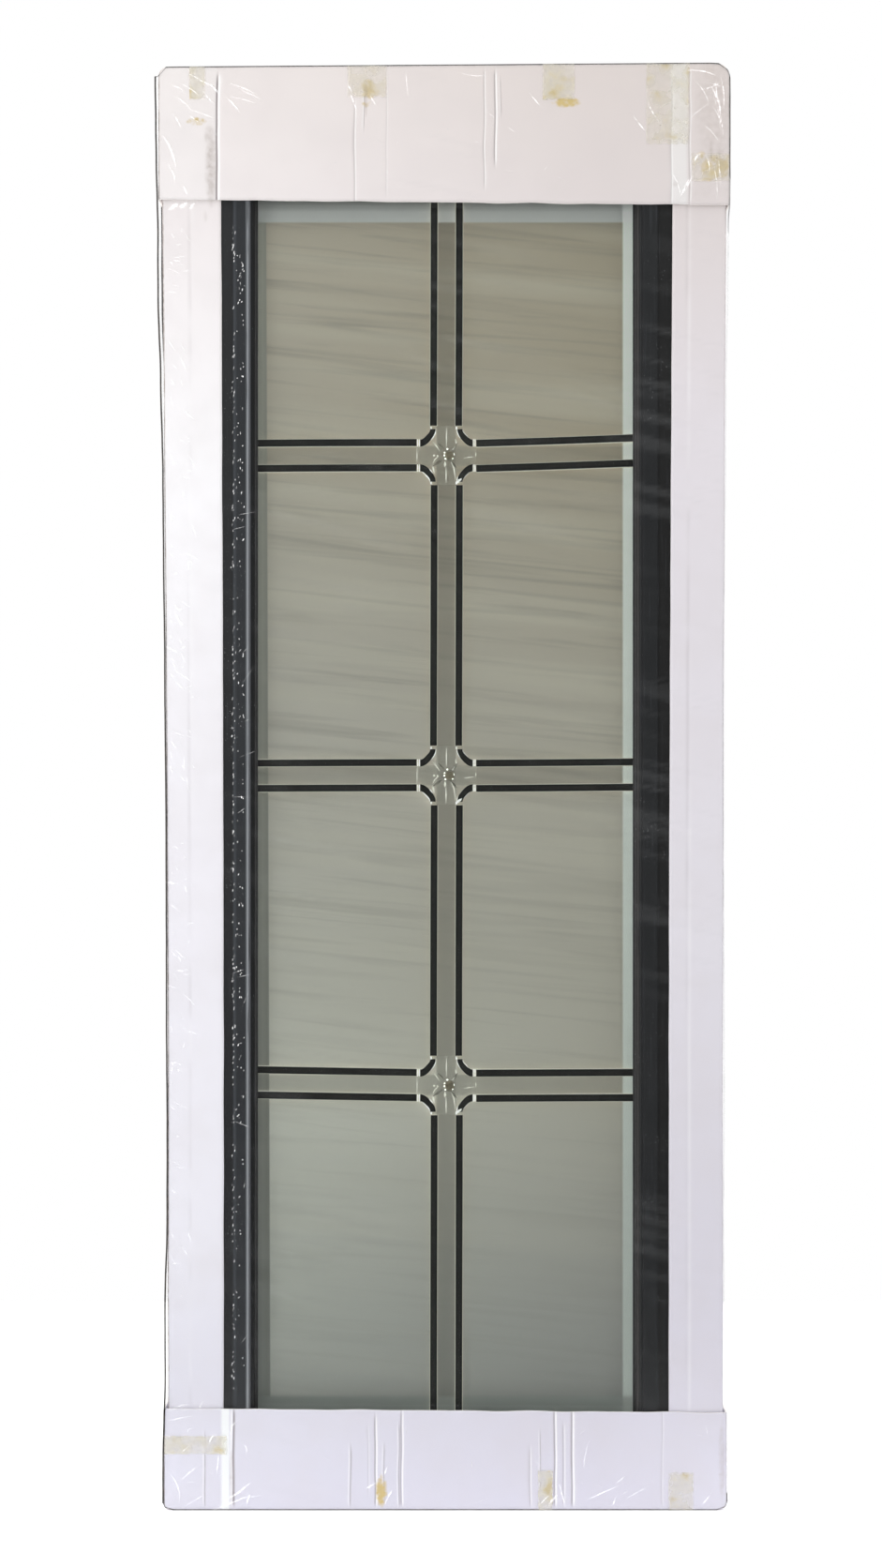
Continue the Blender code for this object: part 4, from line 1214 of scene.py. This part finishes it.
def make_film():
    """The shrink film: one closed skin, pulled tight round the boards and over the glass."""
    # Steps in from the rim, and how far each is tucked towards the leaf
    edge_steps, tucks = (0.0, 0.0013, 0.0026, 0.0042), (0.0016, 0.0008, 0.0002, 0.0)
    rim = edge_steps[-1]
    across, upwards = 66, 400
    width = TOP_CAP.right - TOP_CAP.left
    spreads = [step / width for step in edge_steps]
    spreads += [rim / width + (1 - 2 * rim / width) * i / across for i in range(1, across)]
    spreads += [1 - s for s in reversed(spreads[:4])]
    tall = FILM_HEAD - FILM_FOOT
    heights = list(edge_steps) + [rim + (tall - 2 * rim) * i / upwards for i in range(1, upwards)]
    heights += [tall - h for h in reversed(heights[:4])]
    bm = bmesh.new()
    veil_and_sheen_layer = bm.verts.layers.float.new("veil_and_sheen")
    gather_and_shadow_layer = bm.verts.layers.float.new("gather_and_shadow")
    last_column, last_row = len(spreads) - 1, len(heights) - 1

    def place_vertex(i, j, side):
        z = FILM_FOOT + heights[j]
        left, right = pack_side(z, -1), pack_side(z, 1)
        x = left + (right - left) * spreads[i]
        head, _ = TOP_CAP.closed_at(min(TOP_CAP.right, max(TOP_CAP.left, x)))
        foot, _ = BOTTOM_CAP.closed_at(min(BOTTOM_CAP.right, max(BOTTOM_CAP.left, x)))
        z = foot - 0.0002 + (head + 0.0004 - foot) * heights[j] / tall
        from_rim = min(3, i, last_column - i, j, last_row - j)
        vert = bm.verts.new((x, -side * (film_face(x, z, side) - tucks[from_rim]), z))
        edge = (1.0, 0.95, 0.15, 0.0)[from_rim]
        # The dark rim's painted shadow is weaker down the lit right side
        if x > 0.75 and z < 1.85:
            edge *= 0.45
        edge *= 0.75 + 0.4 * wobble(x, z, 0.03, 11.0)
        vert[gather_and_shadow_layer] = edge
        vert[veil_and_sheen_layer] = max(veil_and_sheen_at(x, z, side), 0.9 * edge)
        return vert

    rims = []
    for side in (1, -1):
        grid = [[place_vertex(i, j, side) for j in range(last_row + 1)] for i in range(last_column + 1)]
        for i, (first, second) in enumerate(zip(grid, grid[1:])):
            for j in range(last_row):
                face = bm.faces.new((first[j], second[j], second[j + 1], first[j + 1]))
                # The dark rim with its painted shadow is left off the lit right side
                lit_right_side = first[j].co.x > 0.79 and 0.02 < first[j].co.z < 1.93
                if min(i / 2, last_column - 1 - i, j, last_row - 1 - j) < 1 and not lit_right_side:
                    face.material_index = 1
        head = [column[-1] for column in grid[1:-1]]
        foot = [column[0] for column in reversed(grid[1:-1])]
        rims.append(grid[0] + head + grid[-1][::-1] + foot)
    rings = []
    for share, veil_and_sheen in ((0.12, 0.15), (0.5, 0.05), (0.88, 0.15)):
        ring = []
        for near, far in zip(*rims):
            vert = bm.verts.new(near.co.lerp(far.co, share))
            vert[veil_and_sheen_layer] = veil_and_sheen
            ring.append(vert)
        rings.append(ring)
    skin(bm, [rims[0]] + rings + [rims[1]], closed=True)
    bmesh.ops.recalc_face_normals(bm, faces=bm.faces)
    make_piece("shrink_film_skin", bm, [FILM, FILM_RIM_SHADOW])


def add_fold(bm, shine_layer, x, z, length, angle, width, shine, bow=0.0, side=1):
    """A pinched fold on the film: a low ridge, pointed at both ends, bowed by a share of its length."""
    turn = math.radians(angle)
    along = Vector((math.cos(turn), 0.0, math.sin(turn)))
    across = Vector((-along.z, 0.0, along.x))
    steps = 8
    rows = []
    for i in range(steps + 1):
        share = i / steps
        swell = math.sin(math.pi * share) ** 0.7
        middle = Vector((x, 0.0, z)) + along * length * (share - 0.5) + across * bow * length * swell
        middle += across * 0.4 * width * wobble(middle.x, middle.z, 0.012, 3.0)
        half = 0.5 * width * max(0.08, swell)
        row = []
        for offset, rise, strength in ((-half, 0.0, 0.2), (0.0, 0.5, 1.0), (half, 0.0, 0.2)):
            spot = middle + across * offset
            out = film_face(spot.x, spot.z, side) + 0.00015 + rise * min(0.0006, width * 0.3) * swell
            vert = bm.verts.new((spot.x, -side * out, spot.z))
            vert[shine_layer] = shine * strength * max(0.25, swell)
            row.append(vert)
        rows.append(row)
    skin(bm, rows)


# Folds in the film that show from a step away: x, z, length, angle, width, shine, bow
FILM_FOLDS = (
    (0.092, 2.033, 0.03, -48, 0.0022, 0.9, 0.05), (0.105, 2.057, 0.046, -22, 0.0018, 0.8, 0.03),
    (0.118, 2.048, 0.04, -26, 0.0014, 0.6, 0.02), (0.048, 2.018, 0.052, -20, 0.0014, 0.6, 0.05),
    (0.056, 2.044, 0.03, -50, 0.0016, 0.8, 0.0), (0.036, 2.013, 0.02, -35, 0.0016, 0.8, 0.0),
    (0.105, 2.04, 0.05, -14, 0.0012, 0.5, 0.04), (0.012, 2.056, 0.024, -30, 0.0014, 0.7, 0.1),
    (-0.002, 1.965, 0.06, -68, 0.003, 0.7, 0.08), (0.002, 1.934, 0.03, -70, 0.002, 0.7, 0.1),
    (0.023, 1.91, 0.016, -70, 0.0022, 0.9, 0.0), (0.265, 2.038, 0.034, -70, 0.0018, 0.8, 0.05),
    (0.26, 2.06, 0.022, -60, 0.002, 0.8, 0.0), (0.295, 2.04, 0.018, -62, 0.0018, 0.9, 0.0),
    (0.344, 2.064, 0.04, -84, 0.0012, 0.6, 0.0), (0.44, 2.08, 0.04, -6, 0.0016, 0.7, -0.1),
    (0.529, 2.042, 0.03, -52, 0.0018, 0.9, 0.0), (0.683, 2.006, 0.034, -52, 0.0018, 1.0, -0.04),
    (0.7, 2.026, 0.028, -60, 0.0016, 0.9, -0.04), (0.712, 2.005, 0.03, -55, 0.0012, 0.5, 0.0),
    (0.733, 1.916, 0.046, -70, 0.0014, 0.6, 0.1), (0.752, 1.918, 0.03, 62, 0.0022, 0.7, 0.0),
    (0.797, 2.052, 0.04, -80, 0.0018, 0.9, -0.1), (0.79, 2.062, 0.02, -20, 0.0018, 0.9, 0.1),
    (0.765, 2.02, 0.05, 40, 0.001, 0.5, 0.05), (0.798, 1.935, 0.05, -84, 0.0018, 0.7, 0.0),
    (0.792, 2.025, 0.06, -78, 0.0024, 0.5, 0.05), (0.77, 2.078, 0.05, -8, 0.0024, 0.8, 0.1),
    (0.102, 0.025, 0.044, 36, 0.0034, 1.0, 0.0), (0.09, 0.008, 0.06, 22, 0.0022, 0.9, 0.0),
    (0.115, 0.013, 0.018, 70, 0.0026, 1.0, 0.1), (0.123, 0.017, 0.04, 10, 0.0012, 0.5, 0.0),
    (0.033, 0.009, 0.04, 32, 0.0014, 0.7, 0.0), (0.096, 0.115, 0.03, 70, 0.002, 0.8, 0.2),
    (0.03, 0.112, 0.01, 40, 0.002, 0.8, 0.3), (0.105, 0.084, 0.018, -70, 0.0016, 0.8, 0.4),
    (0.006, 0.028, 0.046, -72, 0.0024, 0.6, 0.15), (0.022, 0.085, 0.018, 40, 0.0016, 0.7, 0.0),
    (0.293, 0.033, 0.022, 28, 0.003, 1.0, 0.0), (0.315, 0.052, 0.022, 78, 0.002, 0.8, 0.1),
    (0.32, 0.016, 0.03, 60, 0.003, 0.7, 0.1), (0.556, 0.01, 0.024, 50, 0.004, 0.9, 0.1),
    (0.544, 0.013, 0.02, 46, 0.002, 0.9, 0.0), (0.569, 0.02, 0.04, -76, 0.0024, 0.7, 0.0),
    (0.623, 0.02, 0.04, 24, 0.0018, 0.9, 0.0), (0.633, 0.025, 0.046, 24, 0.0014, 0.7, 0.0),
    (0.645, 0.01, 0.012, 70, 0.002, 1.0, 0.0), (0.655, 0.042, 0.022, 36, 0.0014, 0.7, 0.0),
    (0.678, 0.023, 0.036, 28, 0.0014, 0.6, 0.0), (0.605, 0.076, 0.05, 80, 0.0012, 0.5, 0.05),
    (0.778, 0.012, 0.016, 52, 0.0024, 0.9, 0.0), (0.452, 0.011, 0.03, 20, 0.001, 0.4, 0.0),
    (0.02, 1.888, 0.016, 40, 0.006, 0.9, 0.0), (0.006, 1.886, 0.018, 36, 0.006, 0.9, 0.1),
    (0.033, 1.887, 0.012, 50, 0.0036, 0.8, 0.0),
    (0.79, 2.035, 0.06, -74, 0.003, 0.8, 0.1), (0.801, 2.05, 0.05, -86, 0.002, 0.9, 0.05),
    (0.783, 2.062, 0.034, 20, 0.002, 0.9, -0.1), (0.772, 2.05, 0.04, -60, 0.0016, 0.6, 0.1),
    (0.794, 2.01, 0.05, -70, 0.0022, 0.7, 0.1), (0.785, 1.99, 0.04, -50, 0.0016, 0.6, 0.1),
    (0.768, 1.956, 0.022, 50, 0.0036, 0.9, 0.2), (0.779, 1.948, 0.03, -80, 0.002, 0.8, 0.1),
    (0.79, 1.923, 0.06, -84, 0.0016, 0.7, 0.05), (0.748, 1.915, 0.03, 64, 0.0026, 0.8, 0.0),
    (0.04, 2.07, 0.04, -30, 0.0018, 0.8, 0.05), (0.03, 2.055, 0.034, -34, 0.0016, 0.8, 0.05),
    (0.055, 2.062, 0.036, -28, 0.0018, 0.9, 0.05), (0.02, 2.035, 0.04, -40, 0.0014, 0.7, 0.05),
    (0.065, 2.056, 0.024, -52, 0.0024, 0.9, 0.05), (0.01, 2.01, 0.03, -60, 0.0018, 0.7, 0.05),
    (0.015, 0.128, 0.05, 12, 0.0014, 0.6, 0.05), (0.062, 0.1, 0.02, 60, 0.0024, 0.9, 0.1),
    (0.07, 0.065, 0.04, 84, 0.0016, 0.7, 0.0), (0.03, 0.05, 0.04, 40, 0.0018, 0.8, 0.05),
    (0.015, 0.145, 0.03, 20, 0.0022, 0.8, 0.1), (0.045, 0.148, 0.02, 60, 0.0016, 0.7, 0.0),
)


def make_folds():
    """The film's pinched folds, each with a painted highlight: those seen well, then small ones at its left
    edge and elsewhere.
    """
    bm = bmesh.new()
    shine_layer = bm.verts.layers.float.new("shine")
    picks = np.random.default_rng(8)
    pick = picks.random

    def put(*fold, side=1):
        add_fold(bm, shine_layer, *fold, side=side)

    for fold in FILM_FOLDS:
        put(*fold)
    # Wrinkles down the left edge
    for _ in range(150):
        z = 1.86 - 1.6 * pick() ** 1.15
        x = 0.002 + 0.034 * pick() ** 1.6
        lean = picks.normal(-62 if pick() < 0.6 else -12, 16)
        put(x, z, 0.006 + 0.02 * pick() ** 2, lean, 0.0011, 0.35 + 0.6 * pick())
    # A row of pinches along the raised band, and bubbles and loose folds beside it
    for _ in range(230):
        z = 0.16 + 1.7 * pick()
        put(0.0925 + 0.0012 * picks.normal(), z, 0.0025 + 0.005 * pick(), 80, 0.0012, 0.4 + 0.8 * pick())
    for _ in range(150):
        z = 1.82 - 1.62 * pick() ** 1.5
        x, length, angle = 0.096 + 0.012 * pick(), 0.002 + 0.004 * pick() ** 2, 40 + 80 * pick()
        put(x, z, length, angle, 0.0014, 0.8 + 0.8 * pick())
    for _ in range(16):
        z = 0.2 + 1.62 * pick()
        x, length, angle = 0.095 + 0.018 * pick(), 0.012 + 0.02 * pick(), picks.normal(20, 40)
        put(x, z, length, angle, 0.0011, 0.35 + 0.3 * pick())
    # Small folds all over the two caps, then over the back
    for _ in range(70):
        z = (0.0, 1.9)[picks.integers(2)] + 0.02 + 0.11 * pick()
        put(0.8 * pick(), z, 0.005 + 0.014 * pick() ** 2, 180 * pick(), 0.0009, 0.2 + 0.4 * pick())
    for _ in range(90):
        x, z = 0.03 + 0.74 * pick(), 0.04 + 2.0 * pick()
        put(x, z, 0.01 + 0.03 * pick(), 180 * pick(), 0.001, 0.2 + 0.4 * pick(), side=-1)
    make_piece("shrink_film_folds", bm, [FOLD_HIGHLIGHT])


frame_parts = ["stile_left", "stile_right", "rail_top", "rail_bottom"]
bead_parts = ["glazing_bead_left", "glazing_bead_right", "glazing_bead_top", "glazing_bead_bottom"]
dress(frame_parts + bead_parts, BLACK_COAT)
for part in frame_parts + bead_parts:
    soften(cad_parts[part], 0.0004)
dress(["glazing_gasket_front", "glazing_gasket_rear"], RUBBER)
dress(["glass_pane_front"], CLEAR_GLASS)
dress(["glass_pane_rear"], ETCHED_GLASS)
dress(["glass_spacer"], SPACER_METAL)
dress_bars()
dress_arcs()
dress_crosses()
dress_crystals()
make_cap("packing_cap_top_board", "packing_guard_top", TOP_CAP, TOP_FOLDS)
make_cap("packing_cap_bottom_board", "packing_guard_bottom", BOTTOM_CAP, BOTTOM_FOLDS)
make_guard("packing_guard_left_board", "packing_guard_left", -1, LEFT_FLANGE, LEFT_FLARE, LEFT_OPENING)
make_guard("packing_guard_right_board", "packing_guard_right", 1, RIGHT_FLANGE, RIGHT_FLARE, RIGHT_OPENING)
# Tape: the edge it is folded over, from and to along it, its reach in front and behind
for tape in (
    ("tape_head_left", over_head, (0.0285, 0.0516), 0.048, 0.05, TAPE),
    ("tape_head_middle", over_head, (0.258, 0.315), 0.046, 0.052, PALE_TAPE),
    ("tape_head_right", over_head, (0.541, 0.587), 0.052, 0.05, TAPE),
    ("tape_head_corner", over_head, (0.691, 0.754), 0.118, 0.06, PALE_TAPE),
    ("tape_side_head", round_right_head, (1.923, 1.964), 0.056, 0.06, PALE_TAPE),
    ("tape_side_foot", round_left_foot, (0.078, 0.105), 0.092, 0.06, TAPE),
    ("tape_foot_middle", under_foot, (0.534, 0.556), 0.059, 0.05, TAPE),
    ("tape_foot_right", under_foot, (0.723, 0.76), 0.055, 0.05, PALE_TAPE),
):
    make_tape(*tape)
make_film()
make_folds()


def make_floor():
    """A plain pale floor with a fine speckle of 30 mm."""
    finish = mottled("pale_floor", 30.0, 2.0, ((0.3, "#fafafa"), (0.7, "#ffffff")), {
        "Roughness": 0.9, "Specular IOR Level": 0.1, "Emission Color": linear("#ffffff"),
        "Emission Strength": 0.1,
    })
    left, right, front, behind = -2.4, 3.2, -0.45, 1.3
    corners = ((left, front), (right, front), (right, behind), (left, behind))
    bm = bmesh.new()
    bm.faces.new([bm.verts.new((x, y, cad_low.z)) for x, y in corners])
    mesh = bpy.data.meshes.new("floor")
    bm.to_mesh(mesh)
    bm.free()
    mesh.materials.append(finish)
    floor = bpy.data.objects.new("floor", mesh)
    bpy.context.scene.collection.objects.link(floor)


def add_light(name, place, aim, width, height, power):
    """A soft box: a large lamp aimed at a point."""
    lamp = bpy.data.lights.new(name, "AREA")
    lamp.shape = "RECTANGLE"
    lamp.size = width
    lamp.size_y = height
    lamp.energy = power
    lamp.color = linear("#ffffff")[:3]
    holder = bpy.data.objects.new(name, lamp)
    holder.location = place
    holder.rotation_euler = (Vector(aim) - Vector(place)).to_track_quat("-Z", "Y").to_euler()
    bpy.context.scene.collection.objects.link(holder)


def make_surroundings():
    """A white room: white where the camera looks into it, dimmer in front so that black stays black."""
    world = bpy.data.worlds.new("white_room")
    world.use_nodes = True
    tree = world.node_tree
    tree.nodes.clear()
    direction = add(tree, "TexCoord").outputs["Generated"]
    split = add(tree, "SeparateXYZ", {"Vector": direction})
    front = add(tree, "MapRange", {
        "Value": split.outputs["Y"], "From Min": -0.9, "From Max": -0.62, "To Min": 0.05, "To Max": 1.46,
    })
    side = add(tree, "MapRange", {
        "Value": split.outputs["X"], "From Min": -1.0, "From Max": 1.0, "To Min": 1.15, "To Max": 0.85,
    })
    strength = add(tree, "Math", {0: front, 1: side}, operation="MULTIPLY")
    seen = add(tree, "LightPath").outputs["Is Camera Ray"]
    room = add(tree, "Background", {"Color": linear("#ffffff"), "Strength": strength})
    white = add(tree, "Background", {"Color": linear("#ffffff"), "Strength": 1.0})
    mixed = add(tree, "MixShader", {0: seen, 1: room, 2: white})
    add(tree, "OutputWorld", {"Surface": mixed})
    bpy.context.scene.world = world


make_floor()
make_surroundings()
add_light("soft_box_left", (-2.6, -2.6, 1.7), (0.3, 0.0, 1.0), 1.8, 2.6, 24.0)
add_light("soft_box_right", (3.4, -2.8, 1.5), (0.5, 0.0, 1.0), 1.8, 2.6, 8.0)
add_light("soft_box_above", (0.4, -1.0, 3.8), (0.4, 0.0, 0.0), 4.0, 3.0, 16.0)
add_light("soft_box_behind", (0.4, 3.2, 2.4), (0.4, 0.0, 0.9), 3.0, 2.4, 16.0)

# The picture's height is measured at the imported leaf's face
CAMERA_DISTANCE = 3.3
FRAME_HEIGHT = 2.274
PACKED_FACE = 0.0275
CAMERA_ACROSS, CAMERA_HEIGHT = 0.3936, 1.0495
SENSOR = 36.0
camera_data = bpy.data.cameras.new("camera")
camera_data.sensor_width = SENSOR
camera_data.lens = SENSOR * CAMERA_DISTANCE / FRAME_HEIGHT
camera = bpy.data.objects.new("camera", camera_data)
camera.location = (CAMERA_ACROSS, -CAMERA_DISTANCE - PACKED_FACE, CAMERA_HEIGHT)
camera.rotation_euler = (math.radians(90), 0.0, 0.0)
bpy.context.scene.collection.objects.link(camera)
bpy.context.scene.camera = camera
bpy.context.scene.view_settings.view_transform = "Standard"
